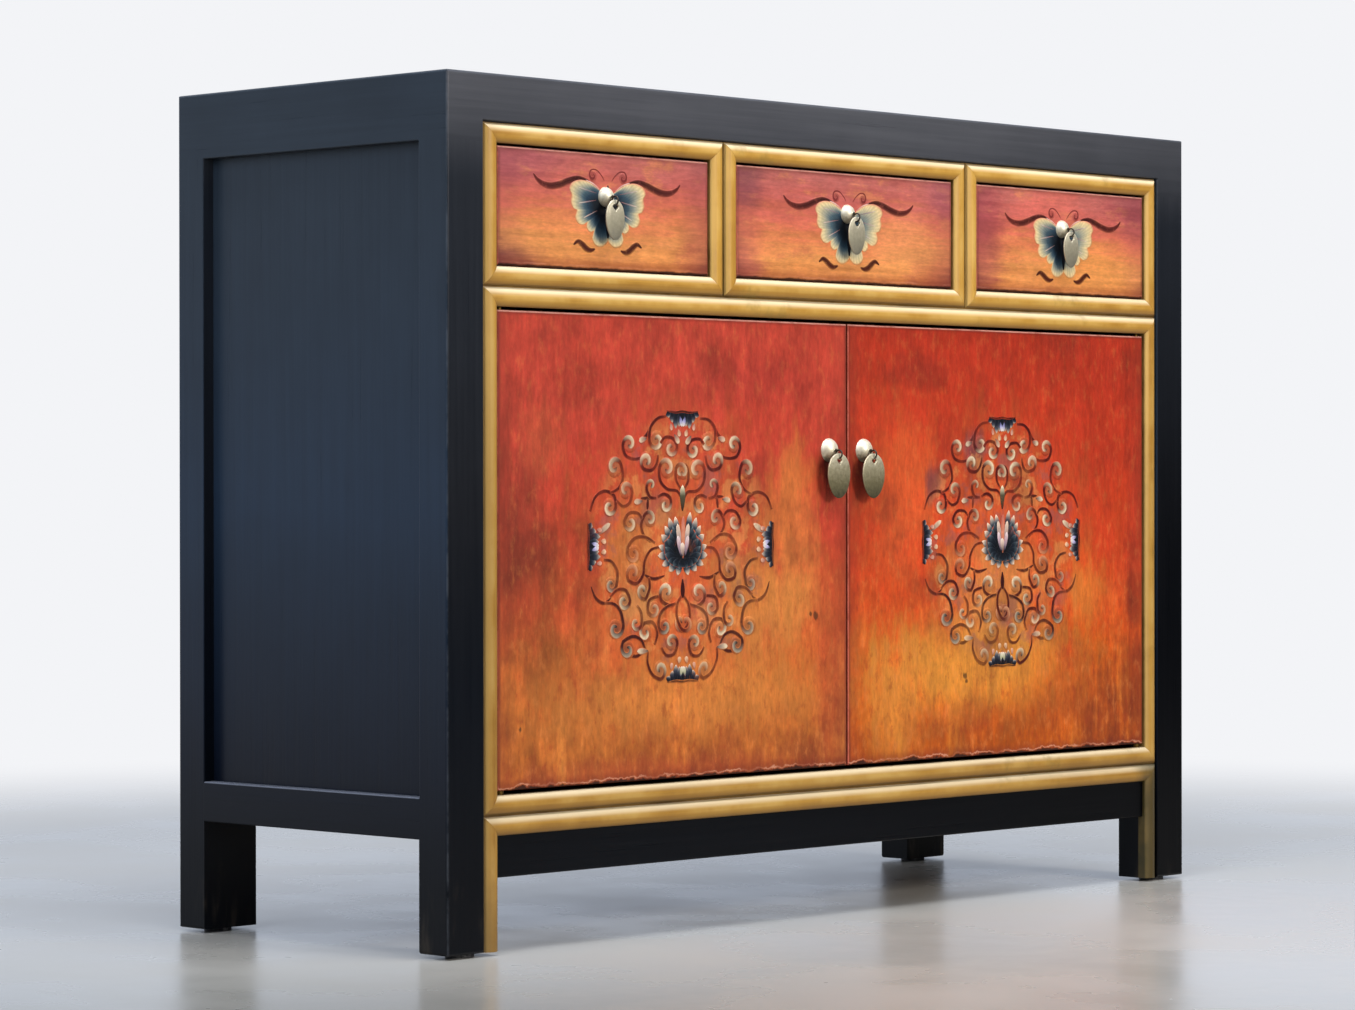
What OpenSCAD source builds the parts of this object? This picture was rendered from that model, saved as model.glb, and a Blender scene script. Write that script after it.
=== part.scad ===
// Painted credenza: three drawers over a pair of doors that turn on pivot pins.
// X runs across the front, Y runs from the front to the back, Z runs up from the floor.
// The origin is on the floor, under the middle of the whole piece with its pulls.

/* [Case] */
// Width of the case
case_w = 1160; // [1080:10:1400]
// Depth of the case, from the front of the legs to the back
case_d = 400; // [360:10:480]
// Height from the floor to the top
case_h = 850; // [800:5:900]
// Radius that softens the outer edges of the case
edge_ease = 3; // [1:0.5:5]
// Radius that softens the edges beside grooves and panels
line_ease = 1.5; // [0.5:0.5:2.5]
// Height of the foot glides
glide_h = 4; // [2:1:8]
// Diameter of the foot glides
glide_d = 28; // [16:1:34]

/* [Frame] */
// Width of a leg across the front, with its bead
post_w = 68.5; // [60:0.5:80]
// Thickness of a leg from front to back
post_t = 40; // [36:1:48]
// Height of the plain face of the top frame, above its bead
top_face_h = 46; // [38:1:60]
// Width of the top frame members, seen from above
top_frame_w = 40; // [36:1:48]
// Height of the rail under each side panel
side_rail_h = 40.5; // [30:0.5:60]
// Thickness of the rail under each side panel
side_rail_t = 34; // [30:1:38]
// Thickness of every tenon
tenon_t = 10; // [6:1:12]
// Length of the tenons on the rails
tenon_l = 25; // [15:1:28]
// Shoulder above and below each tenon
tenon_shoulder = 6; // [4:1:10]
// Length of the stub tenons on the drawer stiles and on top of the legs
stub_l = 14; // [8:1:18]
// Clearance round each tenon in its mortise
mortise_clear = 0.1; // [0:0.05:0.3]

/* [Panels] */
// Depth of the side panels behind the outer face of the frame
panel_recess = 13; // [8:1:15]
// Thickness of the side panels
side_panel_t = 12; // [8:1:14]
// Depth of the grooves that hold the panels
panel_groove = 8; // [5:1:10]
// Thickness of the top panel
top_panel_t = 16; // [12:1:22]
// Thickness of the tongue round the top panel
top_tongue_t = 7; // [5:1:9]
// Depth of the back panel inside the back of the frame
back_inset = 12; // [8:1:16]
// Thickness of the back panel
back_panel_t = 8; // [6:1:10]
// Thickness of the cupboard floor
floor_t = 16; // [12:1:22]
// Thickness of the shelf
shelf_t = 18; // [14:1:24]
// Height of the top of the shelf above the floor
shelf_z = 394; // [340:2:440]
// Clearance round the shelf
shelf_clear = 2; // [1:0.5:5]
// Distance of the shelf from the legs in front and behind
shelf_setback = 4; // [2:1:10]
// Width and height of the cleats under the shelf
cleat_w = 20; // [14:1:30]

/* [Front layout] */
// Width of the two outer drawer openings
drawer_open_w = 300; // [240:5:320]
// Height of the drawer openings
drawer_open_h = 119; // [100:1:140]
// Clear height under the apron
leg_clear = 74.25; // [50:0.25:110]
// Height of the apron
apron_h = 41; // [30:1:60]
// Thickness of the apron
apron_t = 18; // [12:1:22]
// Depth of the apron behind the face of the legs
apron_recess = 6; // [4:0.5:10]

/* [Beads] */
// Width of the round face of a bead
bead_w = 18.5; // [14:0.5:22]
// Width of the groove beside a bead
bead_gap = 1.75; // [1:0.25:3]
// Height of the crown of a bead in front of the legs
bead_crown = 1; // [0.5:0.25:2]
// Rise of the round face from its edges to its crown
bead_rise = 4; // [2:0.5:5]
// Depth of the grooves between the beads
groove_d = 4.5; // [4:0.5:7]
// Depth of the rebate that seats the bead strips
bead_seat = 12; // [10:1:14]
// Hairline between two strips at a mitre, measured along a strip
mitre_gap = 0.05; // [0.02:0.01:0.2]

/* [Doors] */
// Thickness of the doors
door_t = 20; // [18:1:24]
// Depth of the doors and drawer fronts behind the face of the legs
door_recess = 4; // [3:0.5:6]
// Gap beside the hinge edge of a door
door_gap_side = 1.5; // [1:0.25:3]
// Gap above a door
door_gap_top = 3; // [2:0.5:5]
// Gap under a door
door_gap_bottom = 4; // [2:0.5:6]
// Gap between the doors
door_gap_middle = 2; // [1.5:0.5:4]
// Radius along the front edges of the doors and drawer fronts
front_ease = 2; // [1:0.5:3]
// Radius of the front corner along the hinge edge of a door
hinge_ease = 3; // [2.5:0.5:4]
// Distance of the pivot from the hinge edge of the door
pivot_in = 7; // [7:0.5:9]
// Depth of the pivot behind the face of the door
pivot_back = 5.5; // [5:0.5:6]
// Diameter of the pivot pins
pin_d = 6; // [4:0.5:7]
// Length of a pivot pin inside the door
pin_in_door = 14; // [10:1:25]
// Length of a pivot pin inside its socket
pin_in_socket = 8; // [5:1:12]
// Diameter of the shoulder on the lower pivot pin
pin_shoulder_d = 9; // [8:0.5:10]
// Radial clearance of the pivot pins
pin_fit = 0.05; // [0.03:0.01:0.1]
// Wall of the pivot sockets
socket_wall = 2; // [1:0.5:3]
// Height of a batten on the back of a door
batten_h = 40; // [30:1:60]
// Height that a batten stands off the back of the door
batten_t = 10; // [6:1:14]
// Depth of the sliding dovetail that holds a batten
batten_house = 6; // [4:0.5:9]
// Narrowing of the dovetail and of the batten's edges, each side
batten_slope = 3; // [1:0.5:4]
// Distance of the battens from the top and bottom of the door
batten_inset = 70; // [50:5:110]
// Distance of the batten ends from the edges of the door
batten_margin = 35; // [25:1:60]
// Height of the door catches
catch_h = 14; // [10:1:20]
// Length of a door catch
catch_l = 40; // [25:1:60]
// Distance of each catch from the middle of the case
catch_in = 6; // [3:1:15]

/* [Drawers] */
// Thickness of the drawer fronts
drawer_front_t = 20; // [16:1:22]
// Gap beside a drawer front
drawer_gap_side = 1.75; // [1:0.25:3]
// Gap above a drawer front
drawer_gap_top = 2.25; // [1:0.25:4]
// Gap under a drawer front
drawer_gap_bottom = 1.25; // [0.5:0.25:3]
// Thickness of the drawer sides
drawer_side_t = 12; // [10:1:15]
// Height of the drawer sides
drawer_side_h = 92; // [80:1:92]
// Thickness of the drawer backs
drawer_back_t = 12; // [8:1:15]
// Thickness of the drawer bottoms
drawer_bottom_t = 6; // [4:0.5:8]
// Height of the drawer bottoms above the lower edge of the sides
drawer_bottom_up = 8; // [6:1:12]
// Depth of the grooves for the drawer bottoms and of the back housings
drawer_groove = 5; // [3:0.5:6]
// Length of the dovetails in the drawer fronts
tail_l = 12; // [8:1:13]
// Widening of a dovetail on each side
tail_flare = 2; // [1:0.5:3]
// Number of dovetails at each front corner of a drawer
tail_count = 3; // [2:1:4]
// Thickness of the runners that carry the drawers
runner_t = 20; // [14:1:26]
// Width of a runner under a drawer side
runner_w = 20; // [16:1:30]
// Height of the guides beside the drawers
guide_h = 20; // [10:1:30]
// Clearance between a drawer side and its guide
guide_clear = 0.5; // [0.3:0.1:0.8]
// Thickness of the stops behind the drawers
stop_t = 10; // [6:1:20]

/* [Pulls] */
// Height of the door pulls above the floor
door_pull_z = 490; // [440:2:520]
// Distance of the left door's pull from the free edge of the door
pull_in_left = 28; // [22:1:45]
// Distance of the right door's pull from the free edge of the door
pull_in_right = 25; // [22:1:45]
// Height of the drawer pulls above the middle of the drawer fronts
drawer_pull_up = 15; // [5:1:20]
// Diameter of the domed bosses on the doors
door_boss_d = 25; // [22:1:30]
// Rise of the domed bosses on the doors
door_boss_h = 8.5; // [6:0.5:10]
// Diameter of the domed bosses on the drawers
drawer_boss_d = 20; // [18:1:24]
// Rise of the domed bosses on the drawers
drawer_boss_h = 8; // [6:0.5:9]
// Width of the drops on the doors
door_drop_w = 35; // [28:1:42]
// Length of the drops on the doors
door_drop_l = 47; // [40:1:54]
// Width of the drops on the drawers
drawer_drop_w = 26; // [20:1:30]
// Length of the drops on the drawers
drawer_drop_l = 40; // [32:1:46]
// Thickness of the drops
drop_t = 2.6; // [2:0.2:3]
// Fullness of the upper half of a drop against its lower half
drop_egg = 0.1; // [0.05:0.05:0.3]
// Height of the metal above the hole in a drop
bridge_h = 3.4; // [3:0.2:3.8]
// Diameter of the hole in a drop
drop_hole_d = 4.8; // [4.6:0.2:5.4]
// Clearance of a drop in its eye
drop_clear = 0.3; // [0.2:0.05:0.4]
// Gap between the crown of a boss and the eye in front of it
eye_gap = 0.4; // [0.3:0.1:1.5]
// Diameter of the wire of the eyes
wire_d = 1.8; // [1.6:0.1:2]
// Radius of the middle line of the eyes
eye_r = 4.2; // [4.1:0.1:5]
// Diameter of the neck between a boss and its eye
neck_d = 2.6; // [2.2:0.1:3]
// Diameter of the shank through the wood
shank_d = 2.8; // [2.4:0.2:4]
// Clearance of the shank in its hole
shank_clear = 0.1; // [0.05:0.05:0.3]
// Length of each clenched leg behind the wood
clench_l = 12; // [6:1:16]

/* [Hidden] */
$fn = 64;
// Overshoot of every cut past the surface that it opens
cut = 1;
frame_colour = "#31373d";
bead_colour = "#b98f3c";
door_colour = "#c25a34";
drawer_colour = "#cf6a4d";
raw_wood = "#a9865a";
plain_board = "#8d6c48";
pewter = "#a9a594";
brass = "#b08d4a";

// Half widths of the case, of the openings between the legs, and of the space between the side panels
half_w = case_w / 2;
half_in = half_w - post_w;
half_panel = half_w - panel_recess - side_panel_t;
// A bead strip with its half of the groove, and a rail or stile behind two of them
bead_base = bead_w + bead_gap / 2;
rail_h = 2 * bead_base;
bead_r = (bead_w * bead_w / 4 + bead_rise * bead_rise) / (2 * bead_rise);
bead_edge_y = bead_rise - bead_crown;
// Levels of the front, from the floor up
apron_top = leg_clear + apron_h;
door_open_z0 = apron_top + rail_h;
frame_z0 = case_h - top_face_h - bead_gap - bead_w;
drawer_open_z0 = frame_z0 - drawer_open_h;
door_open_z1 = drawer_open_z0 - rail_h;
side_rail_z0 = door_open_z0 - side_rail_h;
rail_mid_y = (bead_seat + post_t) / 2;
// Depths, from the face of the legs
back_panel_y = case_d - back_inset - back_panel_t;
back_post_y = case_d - post_t;
// Middle of the rail that carries the runners and leans on the back panel
back_rail_y = (back_post_y + back_panel_y) / 2;
door_back_y = door_recess + door_t;
drawer_face_back = door_recess + drawer_front_t;
drawer_end = back_post_y - stop_t;
// Levels of the doors and drawers
door_z0 = door_open_z0 + door_gap_bottom;
door_z1 = door_open_z1 - door_gap_top;
door_w = half_in - door_gap_side - door_gap_middle / 2;
pivot_x = half_in - door_gap_side - pivot_in;
pivot_y = door_recess + pivot_back;
pin_bore = pin_d + 2 * pin_fit;
socket_d = pin_bore + 2 * socket_wall;
socket_h = pin_in_socket + socket_wall;
drawer_z0 = drawer_open_z0 + drawer_gap_bottom;
drawer_z1 = frame_z0 - drawer_gap_top;
drawer_bottom_z = drawer_z0 + drawer_bottom_up;
drawer_pull_z = (drawer_z0 + drawer_z1) / 2 + drawer_pull_up;
// Widths of the drawers and the middles of their openings
middle_open_w = case_w - 2 * (post_w + drawer_open_w + rail_h);
stile_x = (middle_open_w + rail_h) / 2;
outer_x = (middle_open_w + drawer_open_w) / 2 + rail_h;
// The eye of a pull and the drop in it
eye_in = eye_r - wire_d / 2;
bridge_r = norm([drop_t / 2, bridge_h / 2]);
drop_hang = eye_r + eye_in - bridge_r - drop_clear;
eye_out = eye_r + wire_d / 2;
pull_reach = drop_stand(max(door_boss_h, drawer_boss_h)) + eye_out;
// The front of the legs, with the origin under the middle of the whole depth
front_y = -(case_d - (pull_reach - door_recess)) / 2;

// Moves a shape from the face of the legs to its place
module placed(tint) {
    color(tint) translate([0, front_y, 0]) children();
}

// A straight block between two corners
module block(x0, x1, y0, y1, z0, z1) {
    translate([x0, y0, z0]) cube([x1 - x0, y1 - y0, z1 - z0]);
}

// Both halves of a shape that is drawn on the right
module both_sides() {
    children();
    mirror([1, 0, 0]) children();
}

// Rectangle with its front corners rounded, from the middle of its front edge
module eased_section(width, depth, left_r, right_r) {
    difference() {
        translate([-width / 2, 0]) square([width, depth]);
        translate([-width / 2 - cut, -cut]) square([left_r + cut, left_r + cut]);
        translate([width / 2 - right_r, -cut]) square([right_r + cut, right_r + cut]);
    }
    translate([-width / 2 + left_r, left_r]) circle(r = left_r);
    translate([width / 2 - right_r, right_r]) circle(r = right_r);
}

// Front board with soft front edges, its left and right edges at their own radius
module eased_board(width, depth, height, left_r, right_r) {
    intersection() {
        linear_extrude(height = height) eased_section(width, depth, left_r, right_r);
        translate([-width / 2 - cut, 0, height / 2]) rotate([0, 90, 0])
            linear_extrude(height = width + 2 * cut)
                eased_section(height, depth, front_ease, front_ease);
    }
}

// Waste of a rounded edge along Z at the origin, with the wood towards +X and +Y
module edge_waste(length, r) {
    difference() {
        translate([-cut, -cut, -cut]) cube([r + cut, r + cut, length + 2 * cut]);
        translate([r, r, -2 * cut]) cylinder(r = r, h = length + 4 * cut);
    }
}

// Rounded rectangle from two corners
module round_rect(x0, x1, y0, y1, r) {
    translate([x0 + r, y0]) square([x1 - x0 - 2 * r, y1 - y0]);
    translate([x0, y0 + r]) square([x1 - x0, y1 - y0 - 2 * r]);
    for (x = [x0 + r, x1 - r], y = [y0 + r, y1 - r])
        translate([x, y]) circle(r = r);
}

// Outer form of the frame, soft along its upright and its top edges
module case_envelope() {
    intersection() {
        linear_extrude(height = case_h) round_rect(-half_w, half_w, 0, case_d, edge_ease);
        translate([0, case_d + cut, 0]) rotate([90, 0, 0])
            linear_extrude(height = case_d + 2 * cut)
                round_rect(-half_w, half_w, glide_h, case_h, edge_ease);
        translate([-half_w - cut, 0, 0]) rotate([90, 0, 90])
            linear_extrude(height = case_w + 2 * cut)
                round_rect(0, case_d, glide_h, case_h, edge_ease);
    }
}

// Beads

// Section of a bead strip: x runs outward from the opening, y runs back
module bead_section() {
    intersection() {
        translate([bead_w / 2, bead_r - bead_crown]) circle(r = bead_r);
        translate([0, -bead_crown - cut]) square([bead_w, bead_rise + cut]);
    }
    translate([0, bead_edge_y]) square([bead_w, bead_seat - bead_edge_y]);
    translate([0, groove_d]) square([bead_base, bead_seat - groove_d]);
}

// One strip up the right of an opening, square or mitred at each end
module bead_strip(edge, lo, hi, lo_mitre, hi_mitre) {
    reach = bead_base + cut;
    intersection() {
        translate([edge, 0, lo - reach])
            linear_extrude(height = hi - lo + 2 * reach) bead_section();
        translate([0, bead_seat + cut, 0]) rotate([90, 0, 0])
            linear_extrude(height = bead_seat + bead_crown + 2 * cut)
                polygon([
                    [edge - cut, lo + (cut + mitre_gap) * lo_mitre],
                    [edge + reach, lo - (reach - mitre_gap) * lo_mitre],
                    [edge + reach, hi + (reach - mitre_gap) * hi_mitre],
                    [edge - cut, hi - (cut + mitre_gap) * hi_mitre]
                ]);
    }
}

// Four mitred strips round an opening
module bead_frame(x, width, z0, z1) {
    height = z1 - z0;
    translate([x, 0, (z0 + z1) / 2]) {
        both_sides() bead_strip(width / 2, -height / 2, height / 2, 1, 1);
        for (turn = [-90, 90])
            rotate([0, turn, 0]) bead_strip(height / 2, -width / 2, width / 2, 1, 1);
    }
}

module bead_drawer(x, width) {
    placed(bead_colour) bead_frame(x, width, drawer_open_z0, frame_z0);
}

module bead_drawer_left() {
    bead_drawer(-outer_x, drawer_open_w);
}

module bead_drawer_middle() {
    bead_drawer(0, middle_open_w);
}

module bead_drawer_right() {
    bead_drawer(outer_x, drawer_open_w);
}

module bead_doors() {
    placed(bead_colour) difference() {
        bead_frame(0, 2 * half_in, door_open_z0, door_open_z1);
        socket_seats();
    }
}

// Strip over the apron with a strip down each leg
module bead_apron() {
    placed(bead_colour) {
        both_sides() bead_strip(half_in, glide_h, apron_top, 0, 1);
        translate([0, 0, apron_top]) rotate([0, -90, 0]) bead_strip(0, -half_in, half_in, 1, 1);
    }
}

// Joints of the frame

// Tenon on the right end of a front rail, or its mortise with a clearance round it
module rail_tenon(y, z0, z1, clear = 0) {
    block(
        half_in, half_in + tenon_l + clear,
        y - tenon_t / 2 - clear, y + tenon_t / 2 + clear,
        z0 + tenon_shoulder - clear, z1 - tenon_shoulder + clear
    );
}

// Tenon on the front end of the right side rail
module side_tenon(clear = 0) {
    x = half_w - side_rail_t / 2;
    block(
        x - tenon_t / 2 - clear, x + tenon_t / 2 + clear,
        post_t - tenon_l - clear, post_t + cut,
        side_rail_z0 + tenon_shoulder - clear, door_open_z0 - tenon_shoulder + clear
    );
}

// Stub tenon on top of the front right leg
module post_stub(clear = 0) {
    block(
        half_in + tenon_shoulder - clear, half_in + post_w / 2 + clear,
        rail_mid_y - tenon_t / 2 - clear, rail_mid_y + tenon_t / 2 + clear,
        frame_z0 - cut, frame_z0 + stub_l + clear
    );
}

// Stub tenons of the right drawer stile
module stile_stubs(clear = 0) {
    half = rail_h / 2 - tenon_shoulder + clear;
    block(
        stile_x - half, stile_x + half,
        rail_mid_y - tenon_t / 2 - clear, rail_mid_y + tenon_t / 2 + clear,
        drawer_open_z0 - stub_l - clear, frame_z0 + stub_l + clear
    );
}

// Tenon on the right end of the apron
module apron_tenon(clear = 0) {
    mid = bead_seat + (apron_recess + apron_t - bead_seat) / 2;
    half = (apron_recess + apron_t - bead_seat) / 4;
    block(
        half_in, half_in + stub_l + clear,
        mid - half - clear, mid + half + clear,
        leg_clear + tenon_shoulder - clear, apron_top - tenon_shoulder + clear
    );
}

// Turns a front joint into the same joint at the back
module at_back() {
    translate([0, case_d, 0]) mirror([0, 1, 0]) children();
}

// Side panel on the right, with its edges in the grooves of the frame
module side_board() {
    block(
        half_panel, half_panel + side_panel_t,
        post_t - panel_groove, back_post_y + panel_groove,
        door_open_z0 - panel_groove, frame_z0 + panel_groove
    );
}

// Back panel, with its edges in the grooves of the frame
module back_board() {
    block(
        -half_in - panel_groove, half_in + panel_groove,
        back_panel_y, back_panel_y + back_panel_t,
        door_open_z0 - panel_groove, frame_z0 + panel_groove
    );
}

// Tongue round the top panel
module top_tongue() {
    inner = top_frame_w - panel_groove;
    block(
        -half_w + inner, half_w - inner, inner, case_d - inner,
        case_h - top_panel_t, case_h - top_panel_t + top_tongue_t
    );
}

// Legs

// Rebate for the bead strip on the right leg, with the outer half of its groove
module post_rebate() {
    block(half_in - cut, half_in + bead_base, -cut, bead_seat, 0, case_h);
    block(half_in - cut, half_in + bead_base + bead_gap / 2, -cut, groove_d, 0, case_h);
    translate([half_in + bead_base + bead_gap / 2, 0, 0]) edge_waste(case_h, line_ease);
}

// Soft edge of the right leg beside the side panel
module post_side_ease() {
    translate([half_w, post_t, door_open_z0]) rotate([0, 0, 180])
        edge_waste(frame_z0 - door_open_z0, line_ease);
}

module front_post() {
    difference() {
        intersection() {
            block(half_in, half_w, 0, post_t, glide_h, frame_z0);
            case_envelope();
        }
        post_rebate();
        post_side_ease();
        side_board();
        side_tenon(mortise_clear);
        rail_tenon(rail_mid_y, door_open_z1, drawer_open_z0, mortise_clear);
        rail_tenon(rail_mid_y, apron_top, door_open_z0, mortise_clear);
        apron_tenon(mortise_clear);
    }
    post_stub();
}

module back_post() {
    difference() {
        intersection() {
            block(half_in, half_w, back_post_y, case_d, glide_h, frame_z0);
            case_envelope();
        }
        at_back() post_side_ease();
        side_board();
        back_board();
        at_back() side_tenon(mortise_clear);
        rail_tenon(back_rail_y, door_open_z1, drawer_open_z0, mortise_clear);
        rail_tenon(back_post_y + post_t / 2, apron_top, door_open_z0, mortise_clear);
    }
    at_back() post_stub();
}

module post_front_left() {
    placed(frame_colour) mirror([1, 0, 0]) front_post();
}

module post_front_right() {
    placed(frame_colour) front_post();
}

module post_back_left() {
    placed(frame_colour) mirror([1, 0, 0]) back_post();
}

module post_back_right() {
    placed(frame_colour) back_post();
}

// Top frame

// Member of the top frame along the front, mitred at its ends
module frame_front() {
    intersection() {
        translate([0, 0, frame_z0]) linear_extrude(height = case_h - frame_z0)
            polygon([
                [-half_w, 0],
                [half_w, 0],
                [half_w - top_frame_w, top_frame_w],
                [-half_w + top_frame_w, top_frame_w]
            ]);
        case_envelope();
    }
}

// Member of the top frame along the right side, mitred at its ends
module frame_side() {
    intersection() {
        translate([0, 0, frame_z0]) linear_extrude(height = case_h - frame_z0)
            polygon([
                [half_w, 0],
                [half_w, case_d],
                [half_w - top_frame_w, case_d - top_frame_w],
                [half_w - top_frame_w, top_frame_w]
            ]);
        case_envelope();
    }
}

module top_rail_front() {
    edge_z = frame_z0 + bead_base + bead_gap / 2;
    reach = half_in + bead_base;
    placed(frame_colour) difference() {
        frame_front();
        block(-reach, reach, -cut, bead_seat, frame_z0 - cut, frame_z0 + bead_base);
        block(-reach - bead_gap / 2, reach + bead_gap / 2, -cut, groove_d, frame_z0 - cut, edge_z);
        translate([reach + bead_gap / 2, 0, edge_z]) rotate([0, -90, 0])
            edge_waste(2 * reach + bead_gap, line_ease);
        both_sides() {
            post_stub(mortise_clear);
            stile_stubs(mortise_clear);
            translate([reach + bead_gap / 2, 0, frame_z0]) edge_waste(edge_z - frame_z0 - cut, line_ease);
        }
        top_tongue();
    }
}

module top_rail_back() {
    placed(frame_colour) difference() {
        at_back() frame_front();
        both_sides() at_back() post_stub(mortise_clear);
        top_tongue();
        back_board();
    }
}

module top_rail_side() {
    difference() {
        frame_side();
        top_tongue();
        side_board();
        translate([half_w, post_t + cut, frame_z0]) rotate([90, 0, 180])
            edge_waste(case_d - 2 * post_t - 2 * cut, line_ease);
    }
}

module top_rail_left() {
    placed(frame_colour) mirror([1, 0, 0]) top_rail_side();
}

module top_rail_right() {
    placed(frame_colour) top_rail_side();
}

module top_panel() {
    placed(frame_colour) {
        block(
            -half_w + top_frame_w, half_w - top_frame_w, top_frame_w, case_d - top_frame_w,
            case_h - top_panel_t, case_h
        );
        top_tongue();
    }
}

// Sides and back

module side_panel_left() {
    placed(frame_colour) mirror([1, 0, 0]) side_board();
}

module side_panel_right() {
    placed(frame_colour) side_board();
}

// Right side rail, its tenons haunched round the groove for the panel
module lower_side_rail() {
    difference() {
        union() {
            block(half_w - side_rail_t, half_w, post_t, back_post_y, side_rail_z0, door_open_z0);
            side_tenon();
            at_back() side_tenon();
        }
        side_board();
        for (flip = [0, 1])
            translate([half_w, flip * case_d, flip * (side_rail_z0 + door_open_z0)])
                mirror([0, flip, 0]) mirror([0, 0, flip])
                    translate([0, post_t, door_open_z0]) rotate([0, 90, 90])
                        translate([0, 0, -cut]) edge_waste(case_d, line_ease);
    }
}

module side_rail_left() {
    placed(frame_colour) mirror([1, 0, 0]) lower_side_rail();
}

module side_rail_right() {
    placed(frame_colour) lower_side_rail();
}

module back_panel() {
    placed(plain_board) back_board();
}

// Rails across the front and back

// Rail between the legs with a tenon at each end
module rail(y0, y1, z0, z1) {
    block(-half_in, half_in, y0, y1, z0, z1);
    both_sides() rail_tenon((y0 + y1) / 2, z0, z1);
}

module middle_rail_front() {
    placed(frame_colour) difference() {
        rail(bead_seat, post_t, door_open_z1, drawer_open_z0);
        both_sides() stile_stubs(mortise_clear);
        socket_seats();
    }
}

module middle_rail_back() {
    placed(raw_wood) rail(back_post_y, back_panel_y, door_open_z1, drawer_open_z0);
}

module bottom_rail_front() {
    placed(frame_colour) difference() {
        rail(bead_seat, post_t, apron_top, door_open_z0);
        socket_seats();
    }
}

module bottom_rail_back() {
    placed(frame_colour) difference() {
        rail(back_post_y, case_d, apron_top, door_open_z0);
        back_board();
    }
}

module apron() {
    placed(frame_colour) {
        difference() {
            block(-half_in, half_in, apron_recess, apron_recess + apron_t, leg_clear, apron_top);
            translate([half_in, apron_recess, leg_clear]) rotate([0, -90, 0])
                edge_waste(2 * half_in, line_ease);
        }
        both_sides() apron_tenon();
    }
}

module drawer_stiles() {
    placed(frame_colour) both_sides() {
        block(
            stile_x - rail_h / 2, stile_x + rail_h / 2, bead_seat, post_t,
            drawer_open_z0, frame_z0
        );
        stile_stubs();
    }
}

// Inside of the case

// Runner from the front rail to the back rail, with a guide and a stop on it
module runner(x0, x1, guide_x0, guide_x1) {
    block(x0, x1, post_t, back_post_y, drawer_z0 - runner_t, drawer_z0);
    block(guide_x0, guide_x1, post_t, back_post_y, drawer_z0, drawer_z0 + guide_h);
    block(x0, x1, drawer_end, back_post_y, drawer_z0, drawer_z0 + guide_h);
}

module drawer_runners() {
    guide = drawer_gap_side - guide_clear;
    edge = rail_h / 2;
    placed(raw_wood) both_sides() {
        runner(half_in - runner_w, half_panel, half_in - guide, half_panel);
        runner(
            stile_x - edge - runner_w, stile_x + edge + runner_w,
            stile_x - edge - guide, stile_x + edge + guide
        );
    }
}

module floor_panel() {
    placed(plain_board)
        block(
            -half_w + side_rail_t, half_w - side_rail_t, post_t, back_post_y,
            door_open_z0 - floor_t, door_open_z0
        );
}

module shelf() {
    placed(plain_board)
        block(
            -half_panel + shelf_clear, half_panel - shelf_clear,
            post_t + shelf_setback, back_post_y - shelf_setback,
            shelf_z - shelf_t, shelf_z
        );
}

module shelf_cleats() {
    placed(raw_wood) both_sides()
        block(
            half_panel - cleat_w, half_panel, post_t, back_post_y,
            shelf_z - shelf_t - cleat_w, shelf_z - shelf_t
        );
}

module door_catches() {
    placed(brass) both_sides()
        block(
            catch_in, catch_in + catch_l, door_back_y, post_t,
            door_open_z1 - catch_h, door_open_z1
        );
}

module foot_glides() {
    x = half_w - post_w / 2;
    placed(pewter) both_sides()
        for (y = [post_t / 2, case_d - post_t / 2])
            translate([x, y, 0]) cylinder(d = glide_d, h = glide_h);
}

// Door pivots

// Holes for the sockets in the rails above and under the doors
module socket_seats() {
    both_sides() translate([pivot_x, pivot_y, 0]) {
        translate([0, 0, door_open_z0 - socket_h]) cylinder(d = socket_d, h = socket_h + cut);
        translate([0, 0, door_open_z1 - cut]) cylinder(d = socket_d, h = socket_h + cut);
    }
}

module pivot_sockets() {
    bore_h = pin_in_socket + pin_fit;
    placed(brass) both_sides() translate([pivot_x, pivot_y, 0]) {
        difference() {
            translate([0, 0, door_open_z0 - socket_h]) cylinder(d = socket_d, h = socket_h);
            translate([0, 0, door_open_z0 - bore_h]) cylinder(d = pin_bore, h = bore_h + cut);
        }
        difference() {
            translate([0, 0, door_open_z1]) cylinder(d = socket_d, h = socket_h);
            translate([0, 0, door_open_z1 - cut]) cylinder(d = pin_bore, h = bore_h + cut);
        }
    }
}

// Pins of the right door
module pivot_pins() {
    translate([pivot_x, pivot_y, 0]) {
        translate([0, 0, door_open_z0 - pin_in_socket])
            cylinder(d = pin_d, h = pin_in_socket + door_gap_bottom + pin_in_door);
        translate([0, 0, door_open_z0]) cylinder(d = pin_shoulder_d, h = door_gap_bottom);
        translate([0, 0, door_z1 - pin_in_door])
            cylinder(d = pin_d, h = pin_in_socket + door_gap_top + pin_in_door);
    }
}

module pin_holes() {
    translate([pivot_x, pivot_y, 0]) {
        translate([0, 0, door_z0 - cut]) cylinder(d = pin_bore, h = pin_in_door + pin_fit + cut);
        translate([0, 0, door_z1 - pin_in_door - pin_fit])
            cylinder(d = pin_bore, h = pin_in_door + pin_fit + cut);
    }
}

module door_pivots_left() {
    placed(brass) mirror([1, 0, 0]) pivot_pins();
}

module door_pivots_right() {
    placed(brass) pivot_pins();
}

// Doors

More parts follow.
